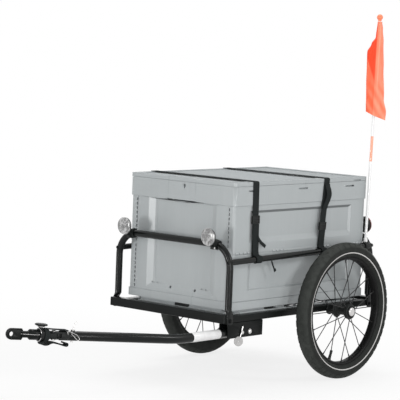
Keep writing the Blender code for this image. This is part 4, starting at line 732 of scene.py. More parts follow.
# Half of the rim's section, from the tyre's seat to its inner face
RIM_SECTION = (
    (0.0104, 0.1574), (0.0126, 0.1577), (0.0130, 0.1570), (0.0130, 0.1546), (0.0127, 0.1538),
    (0.0120, 0.1528), (0.0104, 0.1512), (0.0080, 0.1502), (0.0040, 0.1499),
)
HUB_INNER_X = 0.244
HUB_OUTER_X = 0.2985
AXLE_FLANGE_X = 0.2902
HUB_PROFILE = (
    (HUB_INNER_X, 0.0064), (HUB_INNER_X, 0.0115), (HUB_INNER_X + 0.0010, 0.0160),
    (HUB_INNER_X + 0.0016, 0.0212), (HUB_INNER_X + 0.0024, 0.0220), (HUB_INNER_X + 0.0042, 0.0220),
    (HUB_INNER_X + 0.0050, 0.0212), (HUB_INNER_X + 0.0060, 0.0150), (HUB_INNER_X + 0.0090, 0.0128),
    (AXLE_FLANGE_X - 0.0090, 0.0124), (AXLE_FLANGE_X - 0.0045, 0.0150), (AXLE_FLANGE_X - 0.0030, 0.0212),
    (AXLE_FLANGE_X - 0.0022, 0.0220), (HUB_OUTER_X - 0.0020, 0.0220), (HUB_OUTER_X - 0.0006, 0.0214),
    (HUB_OUTER_X, 0.0200), (HUB_OUTER_X - 0.0004, 0.0170), (HUB_OUTER_X - 0.0012, 0.0165),
    (AXLE_FLANGE_X - 0.0003, 0.0165), (AXLE_FLANGE_X - 0.0003, 0.0064), (HUB_INNER_X, 0.0064),
)
SPOKES_PER_FLANGE = 10
SPOKE_LEAN = math.radians(13)
SPOKE_RADIUS = 0.0013
HUB_CIRCLE = 0.0193
RIM_CIRCLE = 0.1503
# Each flange: where its spokes start and where they reach the rim, and the turn of the first one
FLANGES = (
    (HUB_INNER_X + 0.00325, WHEEL_X - 0.003, 0.0),
    (AXLE_FLANGE_X + 0.0015, WHEEL_X + 0.003, math.pi / SPOKES_PER_FLANGE),
)
# Each step of a nipple: how far it stands inside the rim, and its radius
NIPPLE_STEPS = ((0.0096, 0.0019), (0.0016, 0.0028))
NIPPLE_SUNK = 0.0004
VALVE_PROFILE = (
    (-0.1500, 0), (-0.1500, 0.0056), (-0.1476, 0.0050), (-0.1420, 0.0042), (-0.1336, 0.0040),
    (-0.1332, 0.0031), (-0.1318, 0.0041), (-0.1226, 0.0041), (-0.1212, 0.0032), (-0.1212, 0),
)
VALVE_WAYS = {"left": (0, 0.36, 0.933), "right": (0, -0.93, 0.37)}


def about_axle(place):
    """A place as seen from the axle, and its distance from the axle's line."""
    centred = place.node("Mapping", {}, {"Vector": place, "Location": -AXLE})
    return centred, centred.node("VectorMath", {"operation": "MULTIPLY"}, {0: centred, 1: (0, 1, 1)}).length()


rubber, shader, place = new_finish("tyre rubber", "tyre", specular_ior_level=0.16)
centred, radius = about_axle(place)
outer_wall = centred.axis(0).size().eased(WHEEL_X, WHEEL_X + 0.001)
stripe = radius.band(STRIPE_LOW, STRIPE_HIGH, 0.00025) * outer_wall
beads = place.node("TexVoronoi", {}, {"Vector": place, "Scale": 900.0})
scuff = place.noise(60, 4)
# The tread is greyer than the walls.
tread_paler_than_walls = radius.eased(0.183, 0.192).colours(scuff.colours(*WALL_BLACK), scuff.colours(*TREAD_GREY))
ribs = (radius * 2600).wave() * (1 - radius.eased(0.165, 0.169))
coat(
    shader,
    base_color=stripe.colours(tread_paler_than_walls, beads.colours(grey(0.62, 0.02), grey(0.48, 0.02))),
    roughness=0.82 - 0.2 * scuff - 0.25 * stripe,
    normal=(place.noise(1500, 2) * 0.6 + ribs * 0.12).bump(0.35, 0.0006),
)

rim_black, shader, place = new_finish("black anodised rim", "rim", specular_ior_level=0.12)
centred, radius = about_axle(place)
cloud = place.noise(30, 3)
coat(
    shader,
    base_color=cloud.colours(grey(0.0035), grey(0.007)),
    roughness=0.34 + 0.18 * cloud,
    normal=(radius * 5200).wave().bump(0.08, 0.0003),
)

spoke_steel, shader, place = new_finish("dark spoke steel", "spoke_steel", metallic=0.8)
cloud = place.noise(180, 2)
coat(
    shader,
    base_color=cloud.colours(grey(0.022), grey(0.050)),
    roughness=0.34 + 0.15 * cloud,
    normal=place.stretched(1, 1, 30).noise(300, 1).bump(0.1, 0.0002),
)


def wheel_ring(name, side, section, segments):
    """A ring turned about the axle from half of its section, the other half mirrored."""
    whole = list(section) + [(-x, r) for x, r in reversed(section) if x > 0]
    whole.append(whole[0])
    centre = AXLE + Vector((side * WHEEL_X, 0, 0))
    return lathe(name, [(side * x, r) for x, r in whole], centre, (1, 0, 0), segments)


def on_tread(middle, normal):
    """Whether a face of the tyre belongs to its rib or to one of its blocks."""
    across = abs(middle.x) - WHEEL_X
    up, back = middle.z - AXLE.z, middle.y - AXLE.y
    step = int((math.atan2(up, back) / math.tau + 0.5) * TYRE_SEGMENTS) + (across > 0)
    if math.hypot(back, up) < TREAD_LOW:
        return False
    if TREAD_ROW[0] < abs(across) < TREAD_ROW[1]:
        return step % 3 > 0
    return abs(across) < TREAD_RIB or (abs(across) > TREAD_SHOULDER and (step + 2) % 3 > 0)


def round_wheel(x, radius, angle):
    """A place in a wheel by its distance from the trailer's middle, its radius and its turn."""
    return AXLE + Vector((x, math.cos(angle) * radius, math.sin(angle) * radius))


for label, side in SIDES:
    body = label + "_wheel"
    tyre = wheel_ring(label + "_tyre_rubber", side, TYRE_SECTION, TYRE_SEGMENTS)
    pick(tyre, on_tread)
    bpy.ops.mesh.extrude_region_shrink_fatten(TRANSFORM_OT_shrink_fatten={"value": TREAD_RISE})
    only(tyre)
    fit(tyre, body, rubber, label + "_tyre", smooth=30)
    rim = wheel_ring(label + "_rim_hoop", side, RIM_SECTION, 120)
    fit(rim, body, rim_black, label + "_rim")
    hub = lathe(label + "_hub_shell", [(side * x, r) for x, r in HUB_PROFILE], AXLE, (1, 0, 0), 60)
    fit(hub, body, black_plastic)

    wires = []
    nipples = []
    for flange_x, rim_x, phase in FLANGES:
        for k in range(SPOKES_PER_FLANGE):
            at_rim = phase + math.tau * k / SPOKES_PER_FLANGE
            start = round_wheel(side * flange_x, HUB_CIRCLE, at_rim + (SPOKE_LEAN if k % 2 else -SPOKE_LEAN))
            end = round_wheel(side * rim_x, RIM_CIRCLE, at_rim)
            way = (end - start).normalized()
            wires.append(peg("wire", start, end, SPOKE_RADIUS, 10))
            for reach, thick in NIPPLE_STEPS:
                nipples.append(peg("nipple", end - way * reach, end + way * NIPPLE_SUNK, thick, 12))
    fit(joined(label + "_spoke_wires", *wires), body, spoke_steel, label + "_hub")
    fit(joined(label + "_spoke_nipples", *nipples), body, spoke_steel)
    foot = AXLE + Vector((side * WHEEL_X, 0, 0))
    valve = lathe(label + "_valve", VALVE_PROFILE, foot, VALVE_WAYS[label], 20)
    fit(valve, body, black_plastic)


# The stub axles: a black steel housing under each side rail takes the wheel's axle, whose black end cap
# has a domed steel button in it that releases the wheel.
HOUSING_PROFILE = (
    (0.2178, 0.0063), (0.2178, 0.0162), (0.2184, 0.0170), (0.2212, 0.0170), (0.2222, 0.0150),
    (0.2240, 0.0140), (0.2410, 0.0140), (0.2428, 0.0132), (0.2435, 0.0118), (0.2435, 0.0063),
    (0.2178, 0.0063),
)
SHAFT_PROFILE = (
    (0.2178, 0), (0.2178, 0.0050), (0.2190, 0.0060), (0.2902, 0.0060), (0.2902, 0.0135), (0.2947, 0.0133),
    (0.2947, 0.0028), (0.2802, 0.0028), (0.2802, 0),
)
CAP_PROFILE = (
    (0.2903, 0.0133), (0.2903, 0.0160), (0.2990, 0.0160), (0.3004, 0.0156), (0.3011, 0.0148),
    (0.3008, 0.0138), (0.2995, 0.0133), (0.2903, 0.0133),
)
BUTTON_PROFILE = (
    (0.2852, 0), (0.2852, 0.0025), (0.2987, 0.0025), (0.2987, 0.0124), (0.3010, 0.0129), (0.3026, 0.0122),
    (0.3036, 0.0104), (0.3041, 0.0075), (0.3040, 0.0045), (0.3036, 0.0030), (0.3034, 0),
)
for label, side in SIDES:
    outwards = (side, 0, 0)
    housing = lathe(label + "_housing_sleeve", HOUSING_PROFILE, AXLE, outwards, 48)
    fit(housing, "frame", powder_coat, label + "_axle_housing")
    shaft = lathe(label + "_axle_shaft", SHAFT_PROFILE, AXLE, outwards, 40)
    fit(shaft, "frame", zinc, label + "_axle")
    cap = lathe(label + "_axle_cap", CAP_PROFILE, AXLE, outwards, 48)
    fit(cap, "frame", black_plastic)
    button = lathe(label + "_button_dome", BUTTON_PROFILE, AXLE, outwards, 48)
    fit(button, label + "_button", zinc, label + "_release_button")


# The drawbar bracket: folded steel sheet welded under the left side rail. The drawbar turns on a domed zinc
# bolt through it, and a zinc pin with a grip and a pale nylon pull ring locks it straight.
DRAWBAR_X = 0.201
DRAWBAR_Z = 0.164
PIVOT_Y = 0.0954
LOCK_Y = 0.0604
BRACKET_HALF = 0.0165
BOLT_GAP = 0.0003
INNER_SIDE = DRAWBAR_X - BRACKET_HALF - BOLT_GAP
OUTER_SIDE = DRAWBAR_X + BRACKET_HALF + BOLT_GAP
# The sheet's folds are its long edges above this height and this far out
FOLD_Z = 0.1925
FOLD_OUT = 0.0160
FOLD_RADIUS = 0.0024
PIVOT_PROFILE = (
    (INNER_SIDE - 0.0050, 0), (INNER_SIDE - 0.0050, 0.0058), (INNER_SIDE - 0.0040, 0.0070),
    (INNER_SIDE, 0.0070), (INNER_SIDE, 0.0040), (OUTER_SIDE, 0.0040), (OUTER_SIDE, 0.0072),
    (OUTER_SIDE + 0.0009, 0.0072), (OUTER_SIDE + 0.0009, 0.0066), (OUTER_SIDE + 0.0028, 0.0062),
    (OUTER_SIDE + 0.0042, 0.0046), (OUTER_SIDE + 0.0049, 0.0022), (OUTER_SIDE + 0.0050, 0),
)
LOCK_PROFILE = (
    (INNER_SIDE - 0.0057, 0), (INNER_SIDE - 0.0057, 0.0019), (INNER_SIDE - 0.0040, 0.0030),
    (OUTER_SIDE, 0.0030), (OUTER_SIDE, 0.0050), (OUTER_SIDE + 0.0006, 0.0054), (OUTER_SIDE + 0.0042, 0.0054),
    (OUTER_SIDE + 0.0050, 0.0046), (OUTER_SIDE + 0.0050, 0),
)
PULL_RING_PROFILE = (
    (-0.0009, 0.0014), (0.0009, 0.0014), (0.0012, 0.0024), (0.0014, 0.0100), (0.0018, 0.0114),
    (0.0014, 0.0132), (0.0005, 0.0138), (-0.0005, 0.0138), (-0.0014, 0.0132), (-0.0018, 0.0114),
    (-0.0014, 0.0100), (-0.0012, 0.0024), (-0.0009, 0.0014),
)
PULL_RING_PLACE = (OUTER_SIDE + 0.0019, LOCK_Y - 0.0140, DRAWBAR_Z - 0.0240)
PULL_RING_WAY = (0.9, -0.43, 0)
GRIP_ROUTE = (
    (OUTER_SIDE + 0.0020, LOCK_Y - 0.0078, DRAWBAR_Z - 0.0140),
    (OUTER_SIDE + 0.0028, LOCK_Y - 0.0020, DRAWBAR_Z + 0.004),
    (OUTER_SIDE + 0.0026, LOCK_Y + 0.0016, DRAWBAR_Z + 0.0172),
)
GRIP_RADIUS = 0.0021


def copy_of(node, name):
    """A merged copy of a CAD node, free of its body."""
    only(frame["nodes"][node])
    bpy.ops.object.duplicate()
    piece = bpy.context.object
    piece.name = name
    piece.parent = None
    del piece["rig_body"]
    del piece["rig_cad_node"]
    piece.data.materials.clear()
    open_whole(piece)
    bpy.ops.mesh.remove_doubles(threshold=2e-5)
    bpy.ops.mesh.dissolve_limited(angle_limit=math.radians(0.6))
    only(piece)
    return piece


bracket = copy_of("drawbar_bracket", "bracket_sheet")
round_edges(
    bracket,
    lambda middle, way: abs(way.y) > ALONG and middle.z > FOLD_Z and abs(middle.x - DRAWBAR_X) > FOLD_OUT,
    FOLD_RADIUS,
)
soften(bracket, 0.0006, 2)
fit(bracket, "frame", powder_coat, "drawbar_bracket")
pivot = lathe("pivot_bolt_domed", PIVOT_PROFILE, (0, PIVOT_Y, DRAWBAR_Z), (1, 0, 0), 32)
fit(pivot, "frame", zinc, "drawbar_pivot_bolt")

pale_nylon, shader, place = new_finish("pale nylon", "zinc_steel", roughness=0.45, specular_ior_level=0.25)
cloud = place.noise(220, 3)
coat(
    shader,
    base_color=cloud.colours(grey(0.36, 0.01), grey(0.48, 0.01)),
    roughness=0.38 + 0.2 * cloud,
    normal=place.noise(1200, 2).bump(0.15, 0.0004),
)
lock_pin = lathe("lock_pin_turned", LOCK_PROFILE, (0, LOCK_Y, DRAWBAR_Z), (1, 0, 0), 24)
pull_ring = lathe("pull_ring", PULL_RING_PROFILE, PULL_RING_PLACE, PULL_RING_WAY, 40)
fit(pull_ring, "lock_pin", pale_nylon)
grip = bent_rod("grip", bends(GRIP_ROUTE, 0.02, 4), GRIP_RADIUS, 12)
fit(joined("lock_pin_turned", lock_pin, grip), "lock_pin", zinc, "drawbar_lock_pin")


# The drawbar: one round steel tube bent towards the bicycle's rear axle, black powder coat, with a wrap
# of white reflecting tape behind the bend and a slot in its back end for the locking pin.
DRAWBAR_RADIUS = 0.013
DRAWBAR_WALL = 0.002
DRAWBAR_BEND = 0.30
DRAWBAR_BACK = (DRAWBAR_X, PIVOT_Y + 0.016, DRAWBAR_Z)
BORE_DEPTH = 0.032
PIVOT_HOLE = 0.0043
LOCK_SLOT = 0.0035
LOCK_SLOT_BACK = 0.0079
PIN_HOLE = 0.0033
# How far past the middle of the tube a cutter reaches
CUT_REACH = 0.03
# The drawbar's elbow, and the hitch's own directions: sideways, back towards the elbow, and up
HITCH_ORIGIN = Vector((DRAWBAR_X, -0.1809, DRAWBAR_Z))
HITCH_SIDE = Vector((0.963707, -0.266964, 0))
HITCH_BACK = Vector((0.266103, 0.960601, -0.080222))
HITCH_UP = Vector((0.021416, 0.077311, 0.996777))
TUBE_END = 0.34298
HITCH_PIN = TUBE_END - 0.012
TAPE_FRONT = -0.132
TAPE_LENGTH = 0.1125
TAPE_PROFILE = (
    (0, 0.01302), (0.0004, 0.01325), (TAPE_LENGTH - 0.0004, 0.01325), (TAPE_LENGTH, 0.01302),
    (TAPE_LENGTH, 0.0128), (0, 0.0128), (0, 0.01302),
)


def on_hitch(side, ahead, up):
    """A place measured sideways, ahead of the drawbar's elbow, and up across the hitch."""
    return HITCH_ORIGIN + HITCH_SIDE * side - HITCH_BACK * ahead + HITCH_UP * up


def carve(piece, cutter):
    """Cuts one piece out of another with a Boolean, and throws the cutter away."""
    modify(piece, "BOOLEAN", operation="DIFFERENCE", solver="EXACT", object=cutter)
    bpy.data.objects.remove(cutter)


drawbar_route = bends([DRAWBAR_BACK, HITCH_ORIGIN, on_hitch(0, TUBE_END, 0)], DRAWBAR_BEND, 16)
tube = bent_rod("drawbar_bent_tube", drawbar_route, DRAWBAR_RADIUS, 40)
for tip, way in ((drawbar_route[0], Vector((0, 1, 0))), (drawbar_route[-1], -HITCH_BACK)):
    pick(tube, lambda middle, normal: (middle - tip).length < 0.004 and normal.dot(way) > ALONG)
    bpy.ops.mesh.inset(thickness=DRAWBAR_WALL)
    bpy.ops.mesh.extrude_region_move(TRANSFORM_OT_translate={"value": -way * BORE_DEPTH})
only(tube)
left_x, right_x = DRAWBAR_X - CUT_REACH, DRAWBAR_X + CUT_REACH
carve(tube, peg("cutter", (left_x, PIVOT_Y, DRAWBAR_Z), (right_x, PIVOT_Y, DRAWBAR_Z), PIVOT_HOLE))
slot_start = (left_x, LOCK_Y - LOCK_SLOT, DRAWBAR_Z - LOCK_SLOT)
carve(tube, block("cutter", slot_start, (right_x, LOCK_Y + LOCK_SLOT_BACK, DRAWBAR_Z + CUT_REACH)))
carve(tube, peg("cutter", on_hitch(0, HITCH_PIN, -CUT_REACH), on_hitch(0, HITCH_PIN, CUT_REACH), PIN_HOLE))
soften(tube, 0.0004, 2, 40)
fit(tube, "drawbar", tube_coat, "drawbar_tube")

white_tape, shader, place = new_finish(
    "white reflecting tape", "black_plastic", roughness=0.35, coat_weight=0.3
)
prisms = place.node("TexVoronoi", {}, {"Vector": place, "Scale": 420.0})
smudge = place.noise(45, 3)
coat(
    shader,
    base_color=(prisms * 0.35 + smudge.eased(0.35, 0.7) * 0.5).colours(grey(0.80), grey(0.66)),
    normal=(prisms + place.noise(90, 2) * 1.5).bump(0.3, 0.0008),
)
tape = lathe("white_tape_wrap", TAPE_PROFILE, (DRAWBAR_X, TAPE_FRONT, DRAWBAR_Z), (0, 1, 0), 48)
fit(tape, "drawbar", white_tape)


# The hitch: moulded plastic tail pinned in the tube's end, a receiver that swings on an upright bolt, and
# the arm with the axle eye, held in the receiver by a sprung knob. All black, with zinc pins and clips.
HITCH_EDGE = 0.0008
# Places along the hitch, as distances ahead of the drawbar's elbow
YAW = 0.38728
RECEIVER_BACK = 0.40278
PLUNGER = 0.42628
RING_AHEAD = 0.43188
# Turned outlines, as (distance up across the hitch, radius)
YAW_PROFILE = (
    (-0.0131, 0), (-0.0131, 0.0050), (-0.0124, 0.0064), (-0.0101, 0.0064), (-0.0101, 0.0040),
    (0.0101, 0.0040), (0.0101, 0.0064), (0.0112, 0.0064), (0.0126, 0.0050), (0.0131, 0.0028), (0.0131, 0),
)
KNOB_PROFILE = (
    (0.0070, 0), (0.0070, 0.0040), (0.0208, 0.0040), (0.0208, 0.0086), (0.0226, 0.0094), (0.0240, 0.0140),
    (0.0252, 0.0165), (0.0266, 0.0170), (0.0274, 0.0169), (0.0286, 0.0160), (0.0294, 0.0140),
    (0.0298, 0.0110), (0.0298, 0),
)
KNOB_SEGMENTS = 48
FLUTE_DEPTH = 0.0011
FLUTE_RADIUS = 0.0150
FLUTE_UP = 0.0236
WASHER_PROFILE = (
    (0.0206, 0.0066), (0.0206, 0.0092), (0.0222, 0.0096), (0.0224, 0.0088), (0.0224, 0.0066),
    (0.0206, 0.0066),
)
PIN_PROFILE = (
    (-0.0173, 0), (-0.0173, 0.0024), (-0.0166, 0.0030), (0.0133, 0.0030), (0.0133, 0.0052),
    (0.0140, 0.0057), (0.0166, 0.0057), (0.0173, 0.0050), (0.0173, 0),
)
WIRE_RING_RADIUS = 0.0172
# A thin zinc wire along the arm, a painted highlight that gives its bright line, as (distance ahead, distance
# from the arm's middle)
HIGHLIGHT_WIRE_ROUTE = ((0.4350, 0.0143), (0.4560, 0.0143), (0.4640, 0.0096), (0.4800, 0.0092), (0.4850, 0.0046))
HIGHLIGHT_WIRE_UP = 0.0012
# Wires on the hitch pin, as (distance ahead of it, distance up)
BOW_CORNERS = ((0, 0.0150), (-0.002, 0.0293), (-0.010, 0.0373))
CLIP_CORNERS = (
    (0.021, 0.0050), (0.024, 0.0120), (0.016, 0.0125), (-0.006, 0.0040), (-0.015, -0.0060),
    (-0.010, -0.0110), (0.012, 0.0075),
)
CLIP_SIDE = 0.0150

for node, name, body, finish in (
    ("hitch_tail", "hitch_tail_moulding", "drawbar", black_plastic),
    ("hitch_receiver", "hitch_receiver_moulding", "receiver", black_plastic),
    ("hitch_arm", "hitch_arm_forging", "hitch_arm", powder_coat),
):
    piece = copy_of(node, name)
    soften(piece, HITCH_EDGE, 2, 30)
    fit(piece, body, finish, node, smooth=30)


def hitch_lathe(name, profile, ahead, segments=32):
    """A turned piece standing across the hitch."""
    return lathe(name, profile, on_hitch(0, ahead, 0), HITCH_UP, segments)


def arc(radius, first, last, steps):
    """Points round a circle from one angle to another, in degrees, as (sideways, up) from its centre."""
    turns = [math.radians(first + (last - first) * k / steps) for k in range(steps + 1)]
    return [(radius * math.cos(turn), radius * math.sin(turn)) for turn in turns]


fit(hitch_lathe("yaw_bolt_domed", YAW_PROFILE, YAW), "drawbar", zinc, "hitch_yaw_bolt")
knob = hitch_lathe("plunger_knob_moulding", KNOB_PROFILE, PLUNGER, KNOB_SEGMENTS)
knob_axis = on_hitch(0, PLUNGER, 0)


def on_flute(middle, normal):
    """Whether a face of the knob lies in one of the flutes round its rim."""
    arm = middle - knob_axis
    up = arm.dot(HITCH_UP)
    step = int((math.atan2(arm.dot(HITCH_SIDE), arm.dot(HITCH_BACK)) / math.tau + 0.5) * KNOB_SEGMENTS)
    return (arm - HITCH_UP * up).length > FLUTE_RADIUS and up > FLUTE_UP and step % 4 == 0


pick(knob, on_flute)
bpy.ops.mesh.extrude_region_shrink_fatten(TRANSFORM_OT_shrink_fatten={"value": -FLUTE_DEPTH})
fit(knob, "plunger", black_plastic, "hitch_plunger_knob", smooth=32)
fit(hitch_lathe("plunger_washer", WASHER_PROFILE, PLUNGER, 32), "plunger", zinc)

ring_path = [on_hitch(aside, RING_AHEAD, up) for aside, up in arc(WIRE_RING_RADIUS, 20, 340, 24)]
fit(bent_rod("receiver_wire_ring", ring_path, 0.0009, 10), "receiver", zinc)
# A thin zinc wire along the arm stands in for its highlight: a painted highlight.
highlight_wire = [on_hitch(reach, ahead, HIGHLIGHT_WIRE_UP) for ahead, reach in HIGHLIGHT_WIRE_ROUTE]
fit(bent_rod("arm_highlight_wire", highlight_wire, 0.0006, 8), "hitch_arm", zinc)

pin = hitch_lathe("hitch_pin_turned", PIN_PROFILE, HITCH_PIN, 24)
bow_route = bends([on_hitch(0, HITCH_PIN + ahead, up) for ahead, up in BOW_CORNERS], 0.012, 6)
bow = bent_rod("bow", bow_route, 0.0015, 12)
fit(joined("hitch_pin_turned", pin, bow), "hitch_pin", zinc, "hitch_pin")
clip_route = bends([on_hitch(CLIP_SIDE, HITCH_PIN + ahead, up) for ahead, up in CLIP_CORNERS], 0.0022, 5)
fit(bent_rod("hitch_hairpin", clip_route, 0.0008, 10), "hitch_pin", zinc)


# The straps and the safety strap: black polyester webbing, woven in a fine herringbone with a bound edge,
# two millimetres thick. They are modelled as they lie.
WEB_BLACK = ((0.010, 0.012, 0.012, 1), (0.031, 0.036, 0.036, 1))
WEB_HALF = 0.0125
WEB_THICK = 0.0018
# Half of the webbing's section: the share of its half width, and the share of its thickness
WEB_SECTION = ((-1, 0.30), (-0.94, 0.50), (-0.5, 0.47), (0, 0.46), (0.5, 0.47), (0.94, 0.50), (1, 0.30))
# The strap round the receiver, as (distance ahead, radius)
WRAP_PROFILE = (
    (RECEIVER_BACK + 0.0040, 0.0158), (RECEIVER_BACK + 0.0040, 0.0176), (RECEIVER_BACK + 0.0048, 0.0178),
    (RECEIVER_BACK + 0.01602, 0.0178), (RECEIVER_BACK + 0.01682, 0.0176), (RECEIVER_BACK + 0.01682, 0.0158),
    (RECEIVER_BACK + 0.0040, 0.0158),
)
# The strap's top length, as (distance ahead, distance up)
TOP_ROUTE = (
    (RECEIVER_BACK + 0.0083, 0.0167), (RECEIVER_BACK + 0.001, 0.0166), (YAW, 0.0157),
    (YAW - 0.018, 0.0153), (YAW - 0.037, 0.0152),
)
TOP_HALF = 0.0118
# Its tail under the receiver, as (distance ahead of the upright bolt, distance down from the receiver)
TAIL_DROPS = (
    (0.024, 0), (0.033, 0.0006), (0.0365, 0.003), (0.0345, 0.0065), (0.027, 0.008), (0.019, 0.007),
    (0.012, 0.0035), (0.005, 0.0016), (-0.002, 0.0022), (-0.014, 0.0044), (-0.025, 0.0072), (-0.034, 0.0090),
    (-0.039, 0.0080), (-0.0385, 0.0034), (-0.031, 0.0012),
)
TAIL_UNDER = 0.0168
TAIL_HALF = 0.0122
TAIL_THICK = 0.0042

webbing, shader, place = new_finish("black woven webbing", "webbing", specular_ior_level=0.1)
cloth = place.node("UVMap", {}, {})
warp = (cloth.axis(0) * 1900).wave()
weft = (cloth.axis(1) * 2600 + warp * 1.6).wave()
threads = (warp * 0.5 + 0.5) * (weft * 0.5 + 0.5)
fuzz = place.noise(700, 3)
coat(
    shader,
    base_color=(threads * 0.6 + fuzz * 0.4).colours(*WEB_BLACK),
    roughness=0.78 + 0.18 * fuzz,
    normal=(threads + fuzz * 0.3).bump(0.55, 0.0007),
)


def cloth_piece(name, verts, faces, texels):
    """A piece of cloth from its points, each with its own place on the cloth."""
    mesh = bpy.data.meshes.new(name)
    mesh.from_pydata(verts, [], faces)
    layer = mesh.uv_layers.new(name="cloth")
    for loop in mesh.loops:
        layer.data[loop.index].uv = texels[loop.vertex_index]
    piece = bpy.data.objects.new(name, mesh)
    scene.collection.objects.link(piece)
    return piece


def web(name, path, ups, across, half, thick):
    """Webbing along a middle line, given how its face looks at each point and the way of its width."""
    across = Vector(across).normalized()
    section = list(WEB_SECTION) + [(share, -rise) for share, rise in reversed(WEB_SECTION)]
    verts, faces, texels = [], [], []
    count = len(section)
    run = 0.0
    for k, (point, up) in enumerate(zip(path, ups)):
        run += (Vector(point) - Vector(path[k - 1])).length if k else 0.0
        for share, rise in section:
            verts.append(Vector(point) + across * share * half + Vector(up).normalized() * rise * thick)
            texels.append((share * half, run))
    for k in range(len(path) - 1):
        for j in range(count):
            a, b = k * count + j, k * count + (j + 1) % count
            faces.append((a, b, b + count, a + count))
    faces.append(tuple(reversed(range(count))))
    faces.append(tuple(range((len(path) - 1) * count, len(path) * count)))
    piece = cloth_piece(name, verts, faces, texels)
    open_whole(piece)
    close_facing_out(piece)
    return piece


def smooth_path(points, steps=4):
    """A curve through all the points."""
    points = [Vector(point) for point in points]
    ends = [points[0] * 2 - points[1], *points, points[-1] * 2 - points[-2]]
    curve = []
    for a, b, c, d in zip(ends, ends[1:], ends[2:], ends[3:]):
        first, second, third = c - a, 2 * a - 5 * b + 4 * c - d, 3 * b - a - 3 * c + d
        for k in range(steps):
            share = k / steps
            curve.append(0.5 * (2 * b + first * share + second * share**2 + third * share**3))
    return curve + [points[-1]]


def faces_of(path, across):
    """The way that webbing's face looks at each point of its path."""
    across = Vector(across)
    ways = []
    for k in range(len(path)):
        way = Vector(path[min(k + 1, len(path) - 1)]) - Vector(path[max(k - 1, 0)])
        ways.append(across.cross(way).normalized())
    return ways


def lay_web(name, path, across, body, *nodes, half=WEB_HALF, thick=WEB_THICK):
    """Webbing laid along a path and hung on its body."""
    piece = web(name, path, faces_of(path, across), across, half, thick)
    return fit(piece, body, webbing, *nodes, smooth=60)


wrap = lathe("safety_strap_wrap", WRAP_PROFILE, HITCH_ORIGIN, -HITCH_BACK, 40)
open_whole(wrap)
bpy.ops.uv.cylinder_project(direction="ALIGN_TO_OBJECT", scale_to_bounds=False)
only(wrap)
wrap.data.uv_layers[0].name = "cloth"
for texel in wrap.data.uv_layers[0].data:
    texel.uv = (texel.uv[0] * 0.1, texel.uv[1] * 0.03)
fit(wrap, "receiver", webbing, "hitch_safety_strap", smooth=60)
over = smooth_path([on_hitch(0, ahead, up) for ahead, up in TOP_ROUTE])
lay_web("safety_strap_top", over, HITCH_SIDE, "receiver", half=TOP_HALF)
under = smooth_path([on_hitch(0, YAW + ahead, -TAIL_UNDER - drop) for ahead, drop in TAIL_DROPS])
lay_web("safety_strap_tail", under, HITCH_SIDE, "receiver", half=TAIL_HALF, thick=TAIL_THICK)


# The crate: a grey polypropylene folding box with a tray, two-part long sides, swinging end walls, a deep
# rim band and a hinged lid, all moulded, clipped together on moulded hinge knuckles.
CRATE_HALF_X = 0.2
CRATE_HALF_Y = 0.3
WALL_HALF_X = 0.1975
WALL_HALF_Y = 0.2975
CRATE_Y = 0.3319
FRONT_Y = CRATE_Y - CRATE_HALF_Y
REAR_Y = CRATE_Y + CRATE_HALF_Y
CORNER_RADIUS = 0.007
CRATE_GREY = ((0.335, 0.360, 0.366), (0.400, 0.424, 0.430))
# Two places on a moulding that are closer than this are one
NEAR = 0.0004
# How far a cutter reaches past the crate's outline
PAST = 0.002
TRAY_SLOTS_Y = (-0.118, -0.028, 0.028, 0.118)
TRAY_SLOT_HALF = 0.0262
TRAY_REBATE_Z = (0.2453, 0.2480)
LID_REBATE_Z = (0.5690, 0.5708)
# The long sides: the seam between their panels, and the sunk field with the ledge that hangs over it
SEAM_Z = 0.38105
FIELD_DEPTH = 0.004
FIELD_FLOOR = 0.0068
FIELD_Y = (CRATE_Y - 0.2170, CRATE_Y + 0.2230)
FIELD_TOP = 0.0225
FIELD_LOWS = (("lower", 0.0330), ("upper", 0.0430))
LEDGE_DROP = 0.0200
LEDGE_RISE = 0.0050
# The row of slits up each end of a panel
DASHES = 10
DASH_START = 0.0035
DASH_PITCH = 0.0129
DASH_LENGTH = 0.0080
DASH_DEPTH = 0.0150
DASH_X = (0.1716, 0.1788)
# The knuckles along the seam, in four groups of four, and the lip between the middle groups
KNUCKLES_Y = (0.044, 0.205, 0.402, 0.560)
KNUCKLE_PITCH = 0.0165
KNUCKLE_LENGTH = 0.0122
KNUCKLE_RADIUS = 0.0045
KNUCKLE_X = 0.1956
KNUCKLE_UP = 0.0014
# The end walls: a sunk field inside a slope, snap holes under it, and slits between them
WALL_FIELD = 0.0056
SNAPS_X = (-0.037, 0.057)
SNAP_UP = 0.0165
SNAP_RADIUS = 0.0043
SLITS_X = ((-0.112, -0.098), (-0.093, -0.080), (0.078, 0.090), (0.094, 0.106))
SLIT_UP = (0.0218, 0.0258)
# The rim band: a grip in each side, and in each end a keyhole over two long slots
BAND_GRIPS_Y = (0.109, 0.330, 0.548)
KEYHOLE = (0.008, 0.5592)
KEYHOLE_RADIUS = 0.0050
BAND_SLOTS = (
    ((0.0055, 0.0105), (0.5510, 0.5585)),
    ((-0.058, -0.036), (0.5150, 0.5180)),
    ((-0.030, 0.052), (0.5150, 0.5172)),
)


